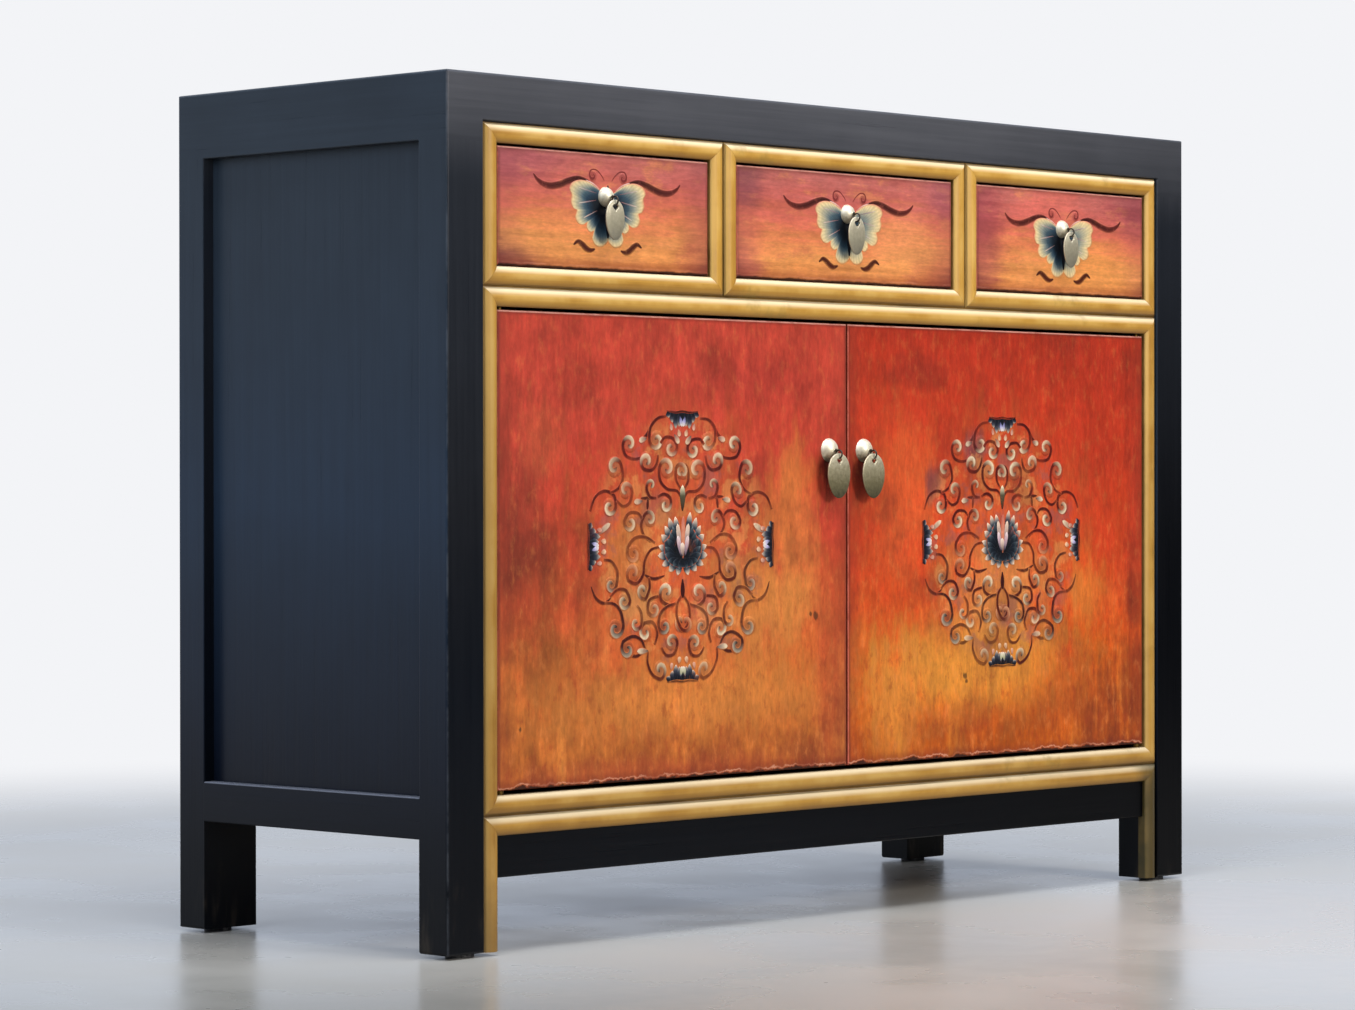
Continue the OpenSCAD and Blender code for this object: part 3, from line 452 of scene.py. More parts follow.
# Seed of each drawer, and its worn and clouded places: middle as shares of the width and height of the
# front, half width and half height in mm, tint and strength
DRAWER_LOOKS = {
    "drawer_left_front": (40, (
        (0.06, 0.03, 60, 24, "6a2c34", 0.75), (0.96, 0.15, 36, 50, "a8483c", 0.5),
        (0.08, 0.95, 70, 34, "a24e5c", 0.5), (0.3, 0.3, 70, 36, "e89650", 0.45),
    )),
    "drawer_middle_front": (50, (
        (0.04, 0.88, 32, 34, "6e4048", 0.65), (0.02, 0.12, 40, 50, "b04a50", 0.6),
        (0.97, 0.08, 70, 34, "9a4038", 0.6), (0.97, 0.9, 36, 34, "a85a68", 0.5),
        (0.76, 0.42, 70, 40, "ee9e5e", 0.55),
    )),
    "drawer_right_front": (60, (
        (0.03, 0.5, 44, 90, "9c4048", 0.65), (0.93, 0.88, 60, 36, "8c3c48", 0.6),
        (0.42, 0.85, 80, 30, "e2705e", 0.55), (0.66, 0.25, 90, 40, "ee9a4e", 0.65),
    )),
}


def drawer_colour(s, node):
    """Pinkish red paint over orange, streaked along the drawer and darker at its corners."""
    seed, patches = DRAWER_LOOKS[node]
    low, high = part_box(node)
    edges, height = board(s, node)
    cloud = s.noise((9, 9, 14), seed, 4, 0.6)
    streak = s.noise((9, 9, 170), seed + 1, 4, 0.62)
    blot = s.noise((40, 40, 60), seed + 2, 4, 0.6)
    weave = s.noise((120, 120, 400), seed + 3, 3, 0.6)
    smear = s.noise((22, 22, 60), seed + 4, 5, 0.68)
    level = s.add(height, s.swing(cloud, 0.5), s.swing(streak, 0.45))
    lower = (0, "da8646"), (0.22, "e09250"), (0.42, "da7c4e")
    s.tint = s.ramp(level, *lower, (0.58, "ce6850"), (0.76, "c26056"), (1, "ba6860"))
    s.lay("dc8a54", s.step(smear, 0.52, 0.66, 0, 0.5))
    s.lay("a84c44", s.step(smear, 0.34, 0.46, 0.3, 0))
    patches = [
        ((low.x + across * (high.x - low.x)) / MM, (low.z + up * (high.z - low.z)) / MM, *rest)
        for across, up, *rest in patches
    ]
    lay_patches(s, patches, s.add(s.swing(streak, 1.3), s.swing(smear, 0.9)), 1.2)
    s.shade(streak, 0.84, 1.15)
    s.shade(weave, 0.88, 1.12)
    s.shade(blot, 0.86, 1.12)
    side = s.least(*edges[:2])
    corner = s.span(s.add(side, s.swing(cloud, 60 * MM)), 0, 50, 0.35, 0)
    s.lay("85404a", corner, s.step(height, 0, 0.75, 0.55, 1))
    s.lay("602a2c", s.span(s.add(side, edges[2], s.swing(streak, 30 * MM)), 4, 34, 0.55, 0))
    edge_wear_and_highlights(s, blot, edges, 0.3)


def painted_board(node, colour, along):
    """Painted front, with plain dull paint on the edges of the board and bare wood on its back."""
    s = Shader("paint_" + node)
    colour(s, node)
    rings, lines = wood_rings(s, along)
    turned = s.axes(s.facing)[1]
    s.lay(s.mix(s.step(rings, 0.35, 0.65), "8a3622", "70291c"), s.step(turned, -0.6, -0.3))
    s.lay(s.mix(lines, "b58e5f", "98714a"), s.step(turned, 0.5, 0.9))
    skin = s.noise(grain_scale(along, 260, 60), 33, 4, 0.6)
    s.bump(skin, 0.12 * MM)
    return s.finish(s.step(skin, 0.2, 0.8, 0.4, 0.56), 0.25)


def ornament_paint(node, colour, fading):
    """Brush strokes: the stroke's own tint where it covers, and the board's colour at its thin edges."""
    s = Shader("ornament_" + node)
    colour(s, node)
    under = s.tint
    strokes = s.node("Attribute", attribute_name="tint").outputs
    worn = s.noise(210, 35, 4, 0.65)
    faded = s.noise(16, 36, 4, 0.6)
    kept = s.times(s.step(worn, 0.3, 0.5, 0.8, 1), s.step(faded, 0.36, 0.58, 1 - fading, 1))
    s.tint = strokes["Color"]
    s.shade(worn, 0.86, 1.12)
    s.tint = s.mix(s.times(strokes["Alpha"], kept), under, s.tint)
    return s.finish(0.5, 0.2)


# Metals and the glides

# Front of the highest boss, where the wire of the eye starts
EYE_START = door_face - 8.8 * MM


def pewter(name, *stops):
    """Rubbed antique nickel with a brushed grain, with painted light above and painted shade below, by the
    turn of a boss's face and by height on a drop, and painted lighter on the pulls higher up. The wire of a
    boss's eye has gone dark.
    """
    s = Shader(name)
    boss = name == "pewter_boss"
    brushed = s.noise((700, 60, 90), 70, 3, 0.6)
    bloom = s.noise(240, 71, 4, 0.65)
    # Painted light and shade: a boss is lighter where its face turns up and darker where it turns down, and a
    # drop lighter towards its top
    height = s.add(0.5, s.times(s.axes(s.facing)[2], 0.5)) if boss else s.axes(s.in_box)[2]
    s.tint = s.ramp(s.add(height, s.swing(bloom, 0.6)), *stops)
    s.shade(brushed, 0.9, 1.08)
    _, depth, place_z = s.axes(s.place)
    # Painted light: the pulls on the drawers, higher up, are lighter than those on the doors
    s.lay("efe9d6", s.span(place_z, 550, 650, 0, 0.25))
    if boss:
        s.lay("221a12", s.step(depth, EYE_START - 0.5 * MM, EYE_START, 0.95, 0))
    s.bump(brushed, 0.04 * MM)
    return s.finish(s.step(bloom, 0.3, 0.7, 0.5, 0.42), metallic=0.5)


def brass():
    s = Shader("brass")
    bloom = s.noise(150, 72, 4, 0.6)
    s.tint = s.mix(s.step(bloom, 0.3, 0.7), "5d4726", "8a6c38")
    return s.finish(s.step(bloom, 0.3, 0.7, 0.45, 0.32), metallic=1)


def glide():
    s = Shader("glide")
    dust = s.noise(200, 73, 4, 0.6)
    s.tint = s.mix(s.step(dust, 0.45, 0.65), "25252a", "6c6a68")
    return s.finish(s.step(dust, 0.3, 0.7, 0.5, 0.62), 0.4)


def dress(material, *names):
    for name in names:
        mesh = nodes[name].data
        mesh.materials.clear()
        mesh.materials.append(material)


def dress_frame():
    ends = ("front", "back")
    posts = ["post_%s_%s" % (end, side) for end in ends for side in SIDES]
    dress(frame_paint("z"), *posts, "side_panel_left", "side_panel_right", "drawer_stiles")
    rails = ["%s_rail_%s" % (level, end) for level in ("top", "bottom") for end in ends]
    dress(frame_paint("x"), *rails, "middle_rail_front", "top_panel", "apron")
    dress(frame_paint("y"), "top_rail_left", "top_rail_right")
    for rail in ("side_rail_left", "side_rail_right"):
        dress(frame_paint("y", rail), rail)
    for place in ("drawer_left", "drawer_middle", "drawer_right", "doors", "apron"):
        dress(gilt("bead_" + place), "bead_" + place)


def dress_inside():
    pine_x, pine_y = (bare_wood("pine", axis, "c39c68", "a57c4c") for axis in "xy")
    board_x, board_y = (bare_wood("board", axis, "9a7449", "80603c") for axis in "xy")
    dress(pine_x, "middle_rail_back", "door_battens_left", "door_battens_right")
    dress(pine_y, "drawer_runners", "shelf_cleats")
    dress(board_x, "back_panel", "floor_panel", "shelf")
    for name in DRAWERS:
        dress(pine_x, "drawer_%s_back" % name)
        dress(pine_y, "drawer_%s_sides" % name)
        dress(board_y, "drawer_%s_bottom" % name)
    dress(brass(), "pivot_sockets", "door_catches", "door_pivots_left", "door_pivots_right")
    dress(glide(), "foot_glides")


def dress_fronts():
    for node in DOOR_TINTS:
        dress(painted_board(node, door_colour, "z"), node)
    for node in DRAWER_LOOKS:
        dress(painted_board(node, drawer_colour, "x"), node)


def add_object(name, data):
    made = bpy.data.objects.new(name, data)
    bpy.context.scene.collection.objects.link(made)
    return made


def add_mesh(name, places, faces, material):
    """Smooth mesh from its points and faces."""
    mesh = bpy.data.meshes.new(name)
    mesh.from_pydata(places, [], faces)
    mesh.materials.append(material)
    mesh.shade_smooth()
    return add_object(name, mesh)


# Brush strokes

# Places across a stroke, and its cover there where the sides thin out
ACROSS = np.array([-1, -0.6, 0, 0.6, 1])
THIN_SIDES = 1 - np.abs(ACROSS) ** 4

# How far each stroke lies over the last one and how deep its sides go, in mm
LAYER = 0.004
SINK = 0.05

# Points of a curve from one given point to the next
PER_SPAN = 6


def through(points):
    """Smooth curve through a few points."""
    p = np.array([points[0], *points, points[-1]], float)
    t = np.linspace(0, 1, PER_SPAN + 1)[:-1, None]
    spans = []
    for i in range(1, len(p) - 2):
        leaving = p[i] + (p[i + 1] - p[i - 1]) / 6
        arriving = p[i + 1] - (p[i + 2] - p[i]) / 6
        ends = p[i] * (1 - t) ** 3 + p[i + 1] * t**3
        spans.append(ends + 3 * leaving * t * (1 - t) ** 2 + 3 * arriving * t * t * (1 - t))
    return np.vstack([*spans, p[-1:]])


def blended(stops, t):
    """Linear colours at places t along a list of (place, colour) stops."""
    where = [s[0] for s in stops]
    tints = np.array([linear(s[1])[:3] for s in stops])
    return np.stack([np.interp(t, where, tints[:, k]) for k in range(3)], axis=-1)


class Painting:
    """Raised brush strokes on an upright face, joined into one mesh."""

    def __init__(self):
        self.points = []
        self.faces = []
        self.tints = []
        self.layer = 0

    def dot(self, place, lift, tint, cover):
        self.points.append((*place, lift))
        self.tints.append((*tint, cover))

    def stroke(self, path, width, tint, cover):
        """One stroke: a path, its width at each point, and its tint and cover at each point across it."""
        count, across = len(path), len(ACROSS)
        width = np.maximum(np.broadcast_to(width, count), 0.2)
        tint = np.broadcast_to(tint, (count, across, 3))
        cover = np.broadcast_to(cover, (count, across))
        run = np.gradient(path, axis=0)
        run /= np.maximum(np.hypot(*run.T), 1e-9)[:, None]
        side = np.stack([-run[:, 1], run[:, 0]], axis=1)
        lifts = [*(LAYER * (self.layer + 1.4 - 0.4 * ACROSS**2)), -SINK, -SINK]
        ring = len(lifts)
        first = len(self.points)
        for i in range(count):
            for j, lift in zip((0, 1, 2, 3, 4, 0, 4), lifts):
                self.dot(path[i] + side[i] * ACROSS[j] * width[i] / 2, lift, tint[i, j], cover[i, j])
        loop = (0, 1, 2, 3, 4, 6, 5)
        last = first + (count - 1) * ring
        for here in range(first, last, ring):
            for a, b in zip(loop, loop[1:] + loop[:1]):
                self.faces.append((here + a, here + ring + a, here + ring + b, here + b))
        self.faces.append(tuple(first + k for k in loop))
        self.faces.append(tuple(last + k for k in reversed(loop)))
        self.layer += 1

    def line(self, points, width, stops):
        """Tapered line through a few points, with a tint along it."""
        path = through(points)
        t = np.linspace(0, 1, len(path))
        swell = np.sin(np.pi * np.clip(t * 0.92 + 0.04, 0, 1)) ** 0.8
        self.stroke(path, width * swell, blended(stops, t)[:, None], THIN_SIDES)

    def petal(self, root, tip, width, stops, point=1, rim=None, soft=False):
        """Petal from its root to its tip. A point over 1 sharpens the tip, and a rim tints its margin."""
        root, tip = np.array(root, float), np.array(tip, float)
        widest = 0.62
        t = np.linspace(0, 1, 13)
        path = root + (tip - root) * t[:, None]
        opening = 0.22 + 0.78 * np.sin(np.pi / 2 * np.minimum(t / widest, 1))
        closing = np.sqrt(1 - np.clip((t - widest) / (1 - widest), 0, 1) ** 2) ** point
        tint = blended(stops, t)[:, None]
        if rim:
            share = 0.6 * np.clip(ACROSS**2 * t[:, None] * 1.3, 0, 1)[..., None]
            tint = tint * (1 - share) + np.array(linear(rim)[:3]) * share
        self.stroke(path, width * opening * closing, tint, THIN_SIDES if soft else 1.3)

    def dab(self, middle, radius, tint, cover):
        """Soft round smear of paint."""
        across = np.linspace(-0.97, 0.97, 11)
        path = middle + np.outer(across * radius, (1, 0))
        fade = (1 - across**4)[:, None] * (1 - np.abs(ACROSS) ** 2.5)
        self.stroke(path, 2 * radius * np.sqrt(1 - across**2), linear(tint)[:3], fade * cover)

    def scroll(self, tone, radius, *places, weight, sweep=350):
        """Vine through all places but the first, round which it curls up, pale on the outside of the curl."""
        stem, inner, outer, end = (np.array(linear(c)[:3]) for c in TONES[tone])
        head, *points = np.array(places, float).reshape(-1, 2)
        away, run = points[-1] - head, points[-1] - points[-2]
        turn = -1 if run[0] * -away[1] + run[1] * away[0] < 0 else 1
        wide = np.hypot(*away)
        entry = math.atan2(away[1], away[0])
        thin, thick = 4.2 * weight, 0.62 * radius
        if thick > thin:
            self.dab(head, 0.95 * radius, TONES[tone][1], 0.6)
        q = np.linspace(0, 1, 25)
        swell = np.sin(np.pi * np.clip(q / 0.86, 0, 1)) ** 1.2
        curl_width = (thin + (thick - thin) * swell) * np.interp(q, (0, 0.86, 1), (1, 1, 0.5))
        outer_radius = radius * (1 - 0.62 * q**1.2) + (wide + thin / 2 - radius) * (1 - q) ** 4
        angle = entry + turn * math.radians(sweep) * q
        heading = np.stack([np.cos(angle), np.sin(angle)], axis=1)
        curl = head + (outer_radius - curl_width / 2)[:, None] * heading
        stem_path = through([*points, curl[3]])[: -PER_SPAN - 1]
        path = np.vstack([stem_path[:-1], curl])
        before = len(path) - len(curl)
        width = np.concatenate([thin * np.linspace(0.5, 1, before) ** 0.6, curl_width])
        outside = np.clip(0.5 - 0.5 * turn * ACROSS, 0, 1)
        pale = np.concatenate([np.zeros(before), np.interp(q, (0.08, 0.3, 0.7, 0.95), (0, 1, 1, 0.3))])
        dark = np.concatenate([np.zeros(before), np.interp(q, (0.6, 1), (0, 0.9))])
        body = inner + (outer - inner) * (outside**0.9)[None, :, None]
        tint = stem + (body - stem) * pale[:, None, None]
        tint = tint + (end - tint) * dark[:, None, None]
        start = np.interp(np.arange(len(path)), (0, 4), (0.6, 1))[:, None]
        self.stroke(path, width, tint, start * (1 - np.abs(ACROSS) ** 5))

    def wing(self, heart, outline, stops):
        """Wing or bowl inside a closed outline of (x, z, share of the way out where it turns pale)."""
        knots = np.array([*outline, outline[0]], float)
        loop = through(knots[:, :2])[:-1]
        count = len(loop)
        turn = np.interp(np.arange(count) / PER_SPAN, np.arange(len(knots)), knots[:, 2])
        streak = 1 + 0.1 * np.sin(np.arange(count) * 1.7)[:, None]
        heart = np.array(heart, float)
        rings = (0.06, 0.3, 0.5, 0.62, 0.72, 0.8, 0.87, 0.94, 1)
        first = len(self.points)
        for share in rings:
            ripe = np.where(share < turn, 0.7 * share / turn, 0.7 + 0.3 * (share - turn) / (1.001 - turn))
            tint = blended(stops, ripe) * (streak if 0.3 < share < 0.95 else 1)
            cover = np.interp(share, (0.8, 0.94, 1), (2, 1, 0.15))
            lift = LAYER * (self.layer + 1.4 - 0.4 * share * share)
            for k in range(count):
                self.dot(heart + (loop[k] - heart) * share, lift, tint[k], cover)
        for k in range(count):
            self.dot(loop[k], -SINK, tint[k], 0.15)
        for ring in range(len(rings)):
            for k in range(count):
                here, there = first + ring * count + k, first + ring * count + (k + 1) % count
                self.faces.append((here, here + count, there + count, there))
        for start, order in ((first, 1), (first + len(rings) * count, -1)):
            middle = len(self.points)
            lift = -SINK if order < 0 else LAYER * (self.layer + 1.4)
            self.dot(heart, lift, linear(stops[0][1])[:3], 1)
            for k in range(count):
                self.faces.append((middle, start + k, start + (k + 1) % count)[::order])
        self.layer += 1

    def mirrored(self, wobble):
        """Adds the same strokes turned over left to right, a little off as a hand would paint them."""
        count = len(self.points)
        for x, z, lift in self.points[:]:
            drift_x, drift_z = wobble * math.sin(z / 17), wobble * math.sin(x / 13)
            self.points.append((drift_x - x, z + drift_z, lift + LAYER / 2))
        self.tints += self.tints
        self.faces += [tuple(k + count for k in reversed(face)) for face in self.faces[:]]

    def build(self, name, middle, body, slot, material):
        """The mesh on the fronts, with the middle of the ornament at (x, z) in millimetres."""
        in_x, in_z = middle
        places = [((in_x + x) * MM, door_face - lift * MM, (in_z + z) * MM) for x, z, lift in self.points]
        piece = add_mesh(name, places, self.faces, material)
        tints = piece.data.attributes.new("tint", "FLOAT_COLOR", "POINT")
        tints.data.foreach_set("color", np.array(self.tints, np.float32).ravel())
        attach(piece, body)


TONES = {
    # stem, inner side of the curl, outer side of the curl, end of the curl
    "cream": ("460a0b", "8f6344", "f8e6c0", "4a2018"),
    "grey": ("4a0c0b", "7a5640", "d8c29e", "40241c"),
    "dark": ("360c10", "24242c", "b4a890", "1a1c22"),
    "rose": ("4c0a0a", "863a26", "d89a70", "451410"),
    "feeler": ("762a28",) * 4,
}

# Left half of the vines: tone, radius of the curl, x and z of its middle and of the points of its stem
VINES = (
    ("cream", 9, -37, 107, -24, 131, -36, 129, -46, 120, -48, 107),
    ("cream", 8, -76, 103, -54, 91, -68, 88, -81, 91, -86, 101),
    ("cream", 9, -52, 86, -35, 93, -38, 83, -45, 77, -56, 78),
    ("cream", 8, -17, 99, -32, 104, -25, 110, -14, 109, -8, 102),
    ("cream", 9.5, -22, 79, -1, 48, -8, 56, -22, 58, -32, 66, -34, 78),
    ("grey", 7.5, -2, 76, 2, 58, 8, 66, 8, 78),
    ("cream", 8.5, -105, 40, -132, 36, -125, 50, -112, 56, -99, 52, -96, 42),
    ("grey", 9.5, -98, 80, -104, 54, -92, 59, -86, 69, -88, 81),
    ("grey", 8, -82, 57, -95, 47, -86, 41, -77, 44, -73, 54),
    ("grey", 5.5, -45, 62, -38, 49, -47, 50, -52, 58),
    ("cream", 7, -25, 42, -36, 50, -27, 53, -18, 49),
    ("grey", 7.5, -47, 28, -46, 5, -56, 12, -60, 22, -55, 32),
    ("cream", 8, -75, 24, -58, 28, -65, 34, -77, 34, -84, 26),
    ("rose", 8.5, -70, -7, -40, 4, -54, 10, -69, 9, -79, 0),
    ("rose", 8.5, -71, -25, -31, 0, -46, -3, -55, -14, -57, -27, -66, -36, -78, -33),
    ("grey", 7, -58, -43, -49, -30, -48, -41, -54, -52),
    ("dark", 7.5, -103, -37, -113, -12, -102, -14, -94, -24, -95, -36),
    ("grey", 8, -85, -54, -104, -49, -94, -42, -82, -43, -76, -53),
    ("dark", 9, -97, -81, -112, -55, -99, -56, -90, -63, -86, -75),
    ("grey", 7, -41, -62, -27, -50, -38, -50, -49, -54, -50, -65),
    ("cream", 8.5, -23, -45, 0, -43, -5, -54, -18, -59, -31, -54),
    ("dark", 7.5, -26, -80, -6, -57, -22, -60, -33, -68, -35, -80),
    ("cream", 8, -54, -86, -41, -98, -37, -87, -43, -76, -55, -76),
    ("dark", 8.5, -79, -102, -54, -103, -60, -93, -72, -89, -86, -94),
    ("grey", 8, -33, -123, -50, -104, -51, -116, -44, -128, -32, -133),
    ("grey", 7.5, -17, -96, -31, -101, -24, -109, -13, -108, -8, -98),
    ("rose", 7.5, -4, -76, -1, -48, 8, -58, 10, -72, 3, -84),
    ("grey", 6.5, -68, -76, -66, -58, -60, -66, -60, -78),
)

STEM_TINTS = (0, "38080c"), (1, "3e0c0c")

# Root and tip of the leaves of the left half
LEAVES = (
    ((-52, 109), (-63, 106)), ((-50, -104), (-66, -104)),
    ((-122, 13), (-104, 24)), ((-58, 46), (-70, 45)),
    ((-12, 113), (-5, 104)),
)

# Left half of the plain stems between the vines
STEMS = (
    ((-46, 122), (-52, 112), (-62, 107)), ((-26, -29), (-42, -32), (-57, -27)),
    ((-131, -38), (-124, -50), (-112, -55), (-102, -49)), ((-60, 49), (-50, 49), (-38, 50)),
    ((-50, 49), (-51, 37)), ((-84, -104), (-68, -109), (-54, -103)),
)

# Petals of a half flower on the edge of the circle: places of root and tip along the edge, and reach
EDGE_PETALS = ((21, 20, 7), (15, 15, 12), (10, 10, 18), (4, 5, 16))
EDGE_BASE = (
    (0, 22), (0, 11), (0, 0), (0, -11), (0, -22),
    (4, -18), (8, -11), (11, -4), (11, 4), (8, 11), (4, 18),
)


def clipped_flower(art, x, z, facing, heart):
    """Half flower that hangs from the edge of the circle and opens along facing, in degrees."""
    a = math.radians(facing)

    def at(reach, shift):
        return (x + reach * math.cos(a) - shift * math.sin(a), z + reach * math.sin(a) + shift * math.cos(a))

    deep = (0, "0b0c12"), (0.45, "171b28"), (0.7, "3f4450"), (0.88, "9d9186"), (1, "e6c6aa")
    base = (0, "0c0f18"), (0.7, "141a26"), (1, "2b3038")
    art.wing(at(5, 0), [(*at(r, s), 0.8) for r, s in EDGE_BASE], base)
    for root, tip, reach in EDGE_PETALS:
        for side in (-1, 1):
            art.petal(at(0.5, root * side), at(reach, tip * side), 7.2, deep, point=2.2)
    hem = at(0.3, -23), at(1.6, -11), at(0.6, 0), at(1.6, 11), at(0.3, 23)
    art.line(hem, 3, ((0, "2e0c0c"), (1, "2e0c0c")))
    for side in (-1, 1):
        art.petal(at(6, 3.6 * side), at(16, 0.9 * side), 4.4, ((0, "3a3a62"), (0.45, heart), (1, "efe0cc")))
        art.petal(at(19, 6 * side), at(26, 4.6 * side), 6.4, ((0, "b57a5c"), (1, "f2d2ac")), soft=True)
        art.petal(at(13, 17 * side), at(20, 16 * side), 5.4, ((0, "a06a60"), (1, "e8b69c")), soft=True)


# Root, tip and width of the petals of the flower in the middle, left half, the back ones first
LOTUS_PETALS = (
    ((-6, 4), (-11, 30), 8),
    ((-10, 0), (-20, 29), 8.5),
    ((-12, -2), (-26, 21), 8),
    ((-12, -4), (-31, 12), 9.5),
    ((-12, -8), (-35, 1), 8),
    ((-10, -9), (-36, -9), 9),
    ((-8, -10), (-30, -19), 8),
    ((-5, -10), (-20, -25), 9.5),
    ((-2, -10), (-8, -29), 8.5),
)
LOTUS_BOWL = (
    (-28, 5), (-27, -7), (-19, -17), (-8, -21), (8, -21), (19, -17), (27, -7), (28, 5),
    (21, 10), (16, 17), (10, 10), (5, 2), (-5, 2), (-10, 10), (-16, 17), (-21, 10),
)


def lotus(art):
    """The flower in the middle: a bowl of dark petals with pale tips, and pale petals in its heart."""
    dark = (0, "0a0c13"), (0.5, "141c28"), (0.66, "2f3e4a")
    deep = *dark, (0.8, "948c86"), (0.92, "e8c8aa"), (1, "ecd2b6")
    shade = (0, "0a0c13"), (0.55, "101822"), (0.8, "1f2b36"), (1, "3a464e")
    inside = (0, "090b11"), (0.6, "141d28"), (0.85, "3a4850"), (1, "7c8080")
    pale = (0, "564656"), (0.5, "b0968e"), (1, "ecd2b8")
    lilac = (0, "463e54"), (0.6, "c2a4ac"), (1, "ecd8d4")
    for side in (-1, 1):
        for root, tip, width in LOTUS_PETALS:
            reach = 1.15 if side > 0 and tip == (-11, 30) else 1
            art.petal((-side * root[0], root[1]), (-side * tip[0], tip[1] * reach), width, deep, point=1.7)
    art.wing((0, -11), [(x, z, 0.8) for x, z in LOTUS_BOWL], shade)
    for side in (-1, 1):
        for root, tip, width in LOTUS_PETALS[1:]:
            inner = (-side * root[0] * 0.8, root[1] - 2), (-side * tip[0] * 0.74, tip[1] * 0.74 - 1)
            art.petal(*inner, width * 0.75, inside, point=2.2)
    art.petal((0, -12), (0.5, 31), 7, ((0, "b86a54"), (0.5, "dc9474"), (1, "c46c5e")), soft=True)
    for side in (-1, 1):
        art.petal((3.5 * side, -4), (8 * side, 23), 6.2, pale, point=0.8)
        art.petal((3 * side, -9), (7.5 * side, 11), 5.6, lilac)
    art.petal((-0.5, -10), (-1, 4), 6.4, ((0, "5c4a4c"), (0.6, "cdb2a2"), (1, "f2dfca")), point=0.8)


def medallion():
    """Round ornament of scrolling vines with five flowers."""
    art = Painting()
    for points in STEMS:
        art.line(points, 4.8, STEM_TINTS)
    for tone, radius, *places in VINES:
        art.scroll(tone, 1.18 * radius, *places, weight=1.2)
    for root, tip in LEAVES:
        art.petal(root, tip, 7, ((0, "4a3a34"), (0.4, "a08a78"), (1, "f0ddb8")), rim="ecd8b2", soft=True)
    art.mirrored(1.6)
    art.petal((0, 36), (0, 62), 7.5, ((0, "30140f"), (0.6, "54503a"), (1, "ecdfba")), point=1.3)
    art.petal((0, -33), (0, -52), 6, STEM_TINTS, point=1.3)
    clipped_flower(art, 0, 137, -90, "9a98c4")
    clipped_flower(art, 0, -137, 90, "b9b890")
    clipped_flower(art, -136, 1, 0, "b9b4d8")
    clipped_flower(art, 136, 1, 180, "b9b4d8")
    lotus(art)
    return art


# Left wing of the butterfly, against the clock from its inner top: x, z and where it turns pale, as a
# share of the way out
WING = (
    (-9, 5, 0.95), (-16, 9, 0.9), (-24, 13, 0.78), (-32, 15, 0.68), (-41, 15, 0.62),
    (-50, 12, 0.6), (-54, 6, 0.6), (-51, 0, 0.6), (-52, -7, 0.6), (-49, -13, 0.62),
    (-44, -15, 0.65), (-46, -22, 0.6), (-42, -28, 0.6), (-35, -29, 0.66), (-30, -26, 0.72),
    (-30, -32, 0.66), (-25, -36, 0.68), (-20, -35, 0.74), (-22, -43, 0.7), (-17, -49, 0.7),
    (-9, -50, 0.72), (-2, -46, 0.78), (1, -40, 0.9), (1, -24, 0.97), (0, -8, 0.97), (-3, 1, 0.97),
)

# Left half of the brush stroke beside the butterfly, and of the short one below it
WHISKER = (
    (-22, 12), (-32, 15.5), (-43, 16.5), (-55, 13.5), (-67, 9.5), (-79, 7.5), (-90, 9), (-98, 13), (-103, 18),
)
SQUIGGLE = ((-48, -49), (-42, -45.5), (-36, -48), (-30, -52), (-24, -53.5), (-18, -52))
VEINS = (-16, 3, -42, 8), (-17, -4, -42, -8), (-15, -14, -34, -22)
WING_TINTS = (
    (0, "06080d"), (0.32, "0d151e"), (0.56, "22394a"),
    (0.7, "4a6069"), (0.8, "909385"), (0.92, "d6c394"), (1, "e8c288"),
)


def butterfly(*pale):
    """Butterfly with scalloped wings, long brush strokes beside it and curled feelers."""
    art = Painting()
    art.line(WHISKER, 8.4, ((0, "2c0808"), (0.5, "3c100e"), (1, "5c1c18")))
    art.line(SQUIGGLE, 8, ((0, "360508"), (1, "420a08")))
    art.scroll("feeler", 6, -21, 20, -5, 16, -9, 21, -16, 26, -23, 26, weight=0.45, sweep=330)
    art.mirrored(0.6)
    for side, further in zip((1, -1), pale):
        outline = [(side * x, z, min(share + further, 0.97)) for x, z, share in WING]
        art.wing((-6 * side, -13), outline[::side], WING_TINTS)
        for root_x, root_z, tip_x, tip_z in VEINS:
            vein = (0, "2c4452"), (0.5, "74868c"), (1, "d8d2be")
            art.petal((side * root_x, root_z), (side * tip_x, tip_z), 1.2, vein, soft=True)
        rim = (-10 * side, 6), (-20 * side, 12), (-31 * side, 15.5)
        art.line(rim, 1.4, ((0, "c98a80"), (1, "ecd8c8")))
    art.petal((0, -41), (0, 12), 10, ((0, "0b0e15"), (1, "151b25")), point=1.2)
    return art


# How far each drawer's butterfly sits under the middle of the boss, in mm, and how much further out its
# left and right wings turn pale
BUTTERFLIES = {"left": (0, 0.02, -0.05), "middle": (3, -0.1, -0.3), "right": (4.2, -0.04, -0.3)}
ART_SHIFT = 3.5

# Bosses of the drawers, whose middles the butterflies are drawn round
BOSS_DRAWER = 20 * MM


def draw_ornaments():
    round_art = medallion()
    for side in SIDES:
        node = "door_" + side
        paint = ornament_paint(node, door_colour, 0.32)
        round_art.build("medallion_" + side, DOOR_TINTS[node]["centre"], node, "door_paint", paint)
    for name, (drop, *pale) in BUTTERFLIES.items():
        node = "drawer_%s_front" % name
        low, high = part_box("drawer_%s_pull" % name)
        middle = (low.x + high.x) / 2 / MM + ART_SHIFT, (high.z - BOSS_DRAWER / 2) / MM - drop
        paint = ornament_paint(node, drawer_colour, 0)
        butterfly(*pale).build("butterfly_" + name, middle, "drawer_" + name, "drawer_paint", paint)


# Pulls

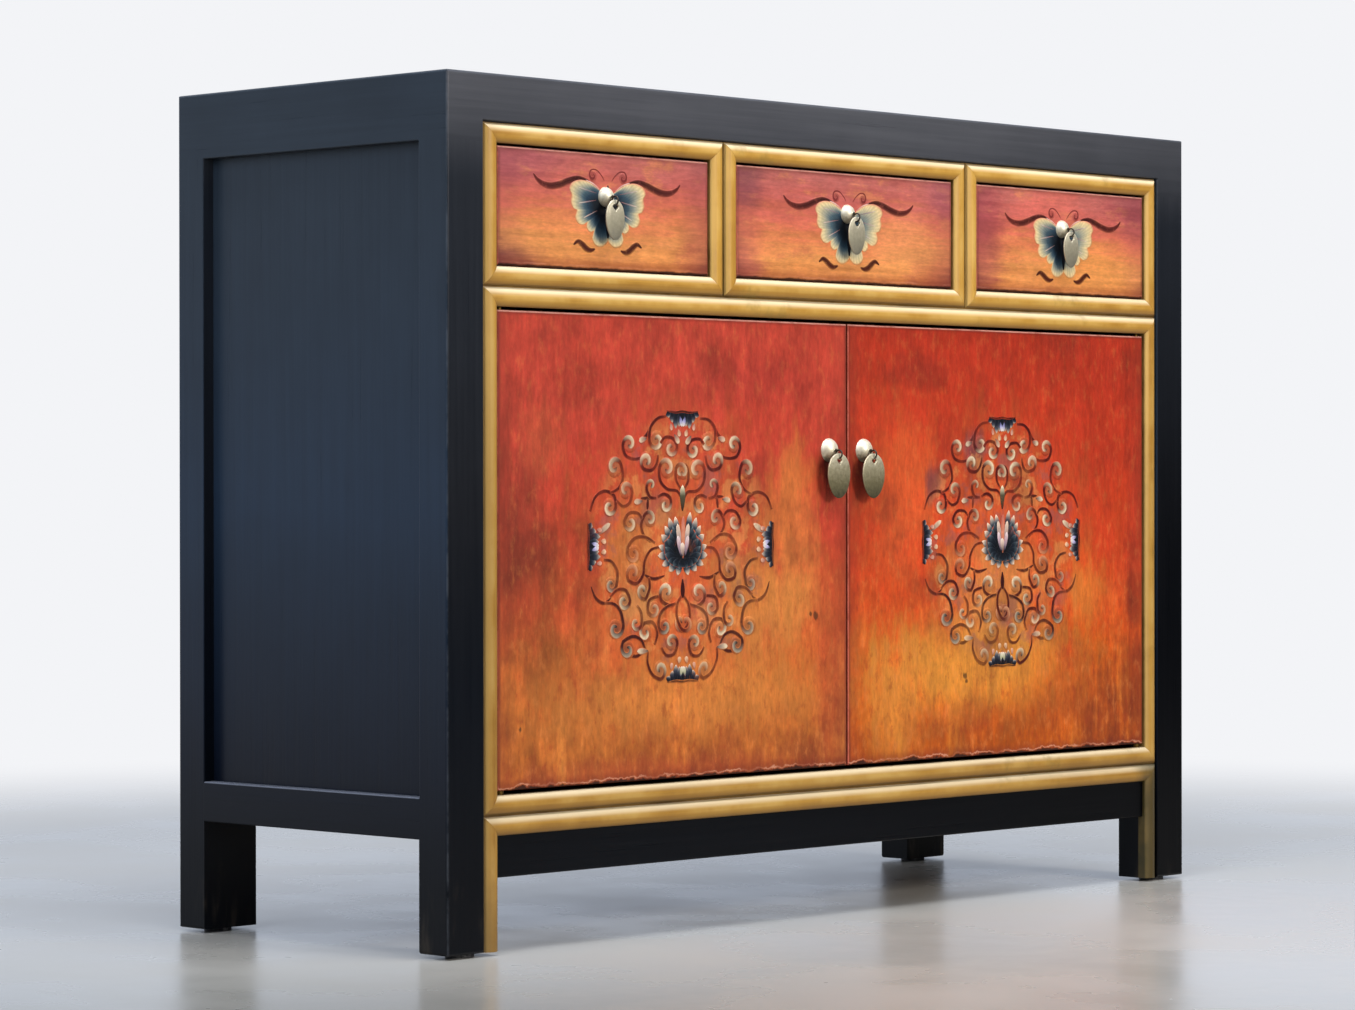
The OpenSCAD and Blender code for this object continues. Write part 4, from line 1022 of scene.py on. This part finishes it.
# Angles of the points round a drop, how much wider its egg is above, the width of its bevelled rim, and the
# rings of points from its outline in to the hole, as shares of the way
TURN = np.linspace(0, 2 * math.pi, 96, endpoint=False)
DROP_EGG = 0.1
RIM = 1.3 * MM
DROP_RINGS = (0, 0.012, 0.05, 0.11, 0.17, 0.3, 0.45, 0.6, 0.75, 0.88, 0.96, 1)


def drop_outline(width, length):
    """Egg-shaped outline from its top, with x to the right and z down from 0."""
    x = width / 2 * np.sin(TURN) * (1 + DROP_EGG * np.cos(TURN)) / (1 + DROP_EGG**2 / 2)
    return np.stack([x, length / 2 * (np.cos(TURN) - 1)], axis=1)


def heart_outline(middle, size):
    """Heart-shaped hole with its point down."""
    x = 16 * np.sin(TURN) ** 3
    z = 13 * np.cos(TURN) - 5 * np.cos(2 * TURN) - 2 * np.cos(3 * TURN) - np.cos(4 * TURN)
    return np.stack([x * size / 32, z * size / 32 + middle], axis=1)


def model_drop(node, body, material, hole_down, hole_size):
    """Egg-shaped drop with a bevelled rim, a slightly crowned face and a heart-shaped hole."""
    low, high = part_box(node)
    width, length, thick = high.x - low.x, high.z - low.z, high.y - low.y
    middle_x, middle_y = (low.x + high.x) / 2, (low.y + high.y) / 2
    outer = drop_outline(width, length)
    inner = heart_outline(-hole_down * MM, hole_size * MM)
    places = []
    for side, shares in ((1, DROP_RINGS), (-1, DROP_RINGS[::-1])):
        for share in shares:
            for point in outer + (inner - outer) * share:
                inset = np.hypot(*(outer - point).T).min()
                bevel = 0.3 + 0.35 * math.sin(math.pi / 2 * min(inset / RIM, 1))
                crown = 0.35 * math.sin(math.pi / 2 * min(inset / (0.3 * width), 1))
                dish = 0 if side < 0 else 0.14 * math.exp(-(((inset - 1.8 * RIM) / (0.6 * RIM)) ** 2))
                soft = 0.12 if share > 0.97 else 0
                depth = thick / 2 * (bevel + crown - dish - soft)
                places.append((middle_x + point[0], middle_y - side * depth, high.z + point[1]))
    count = len(TURN)
    faces = []
    for a in range(0, len(places), count):
        b = (a + count) % len(places)
        faces += [(b + k, b + (k + 1) % count, a + (k + 1) % count, a + k) for k in range(count)]
    piece = add_mesh(node + "_plate", places, faces, material)
    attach(piece, body)
    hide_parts(node)


def fit_pulls():
    # Tint stops run from the painted shade below to the painted light above
    boss = pewter("pewter_boss", (0, "5f584a"), (0.2, "8d866a"), (0.38, "d6ceb0"), (0.6, "f3ecd2"))
    plate = pewter("pewter_plate", (0, "4e4a34"), (0.35, "807859"), (0.65, "aca384"), (1, "eae1c4"))
    for side in SIDES:
        dress(boss, "door_pull_" + side)
        model_drop("door_drop_" + side, "drop_door_" + side, plate, 7.9, 7.6)
    for name in DRAWERS:
        dress(boss, "drawer_%s_pull" % name)
        model_drop("drawer_%s_drop" % name, "drop_drawer_" + name, plate, 7.4, 8.4)


# Floor, lights and camera

BACKGROUND = "f3f4f7"
FLOOR_HALF = 14


def lay_floor():
    """Pale floor with painted shade towards the left and the front, that fades into the background round the
    object and is dark where reflections see it ahead of the object.
    """
    s = Shader("floor")
    mottle = s.noise(3, 80, 5, 0.6)
    s.tint = s.mix(s.step(mottle, 0.3, 0.7), "b3b1aa", "bfbcb4")
    x, y, _ = s.axes(s.place)
    # Painted shade: the floor darkens towards the left and the front
    s.lay("7a7a74", s.step(s.add(x, s.times(y, 0.5)), -1.5, -0.4, 0.85, 0))
    s.finish(s.step(mottle, 0.3, 0.7, 0.22, 0.34))
    rays = s.node("LightPath").outputs
    ahead = s.times(rays["Is Glossy Ray"], s.step(y, -1.4, -0.4, 1, 0))
    glow = s.node("Emission", s.mix(ahead, BACKGROUND, "22252a"), 1).outputs[0]
    seen = s.most(rays["Is Camera Ray"], rays["Is Glossy Ray"], rays["Is Transmission Ray"])
    away = s.step(s.vector("LENGTH", s.place)["Value"], 1.1, 2.6)
    joined = s.either(s.times(away, seen), s.surface.outputs[0], glow)
    s.put(s.tree.nodes["Material Output"].inputs["Surface"], joined)
    corners = [(x * FLOOR_HALF, y * FLOOR_HALF, 0) for x, y in ((-1, -1), (1, -1), (1, 1), (-1, 1))]
    floor = add_mesh("floor", corners, [(0, 1, 2, 3)], s.material)


def set_world():
    """Even soft light, a pale background for the camera, and a studio bright behind for reflections."""
    world = bpy.data.worlds.new("studio")
    bpy.context.scene.world = world
    world.use_nodes = True
    s = Nodes(world.node_tree)
    rays = s.node("LightPath").outputs

    def background(tint, strength=1):
        return s.node("Background", tint, strength).outputs[0]

    _, behind, above = s.axes(s.node("TexCoord").outputs["Generated"])
    bright = s.most(s.step(behind, -0.3, 0.6), s.step(above, 0.35, 0.8))
    reflected = s.either(bright, background("14161a"), background("dde8fb"))
    seen = s.most(rays["Is Camera Ray"], rays["Is Transmission Ray"])
    other = s.either(rays["Is Glossy Ray"], background("e6ecf8", 0.45), reflected)
    s.put(s.tree.nodes["World Output"].inputs["Surface"], s.either(seen, other, background(BACKGROUND)))


def area_light(name, place, target, size, power, tint):
    data = bpy.data.lights.new(name, "AREA")
    data.shape = "RECTANGLE"
    data.size, data.size_y = size
    data.energy = power
    data.color = linear(tint)[:3]
    lamp = add_object(name, data)
    lamp.location = place
    lamp.rotation_euler = (Vector(target) - Vector(place)).to_track_quat("-Z", "Y").to_euler()


def set_lights():
    area_light("key", (0.4, -3.9, 1.75), (0, 0, 0.5), (1.1, 0.8), 75, "fff7ee")
    area_light("window", (-3.4, -0.6, 2.2), (0, 0, 0.45), (2.2, 2.2), 42, "e0ebff")
    area_light("overhead", (-0.4, -1, 3.3), (0, -0.2, 0.5), (2.6, 1.2), 80, "f6f9ff")


def set_camera():
    """Camera fitted to the corners of the frame in the photograph."""
    data = bpy.data.cameras.new("camera")
    data.sensor_fit = "HORIZONTAL"
    data.sensor_width = 36
    data.lens = 110.216
    camera = add_object("camera", data)
    camera.location = (-3.28057, -3.08025, 0.45084)
    yaw, pitch, roll = 46.2594, -0.2392, -0.0657
    forward = Euler((math.radians(90 + pitch), 0, math.radians(-yaw))).to_matrix()
    spin = Euler((0, 0, math.radians(roll))).to_matrix()
    camera.rotation_euler = (forward @ spin).to_euler()
    bpy.context.scene.camera = camera


dress_frame()
dress_inside()
dress_fronts()
draw_ornaments()
fit_pulls()
lay_floor()
set_world()
set_lights()
set_camera()
bpy.context.scene.view_settings.view_transform = "Standard"
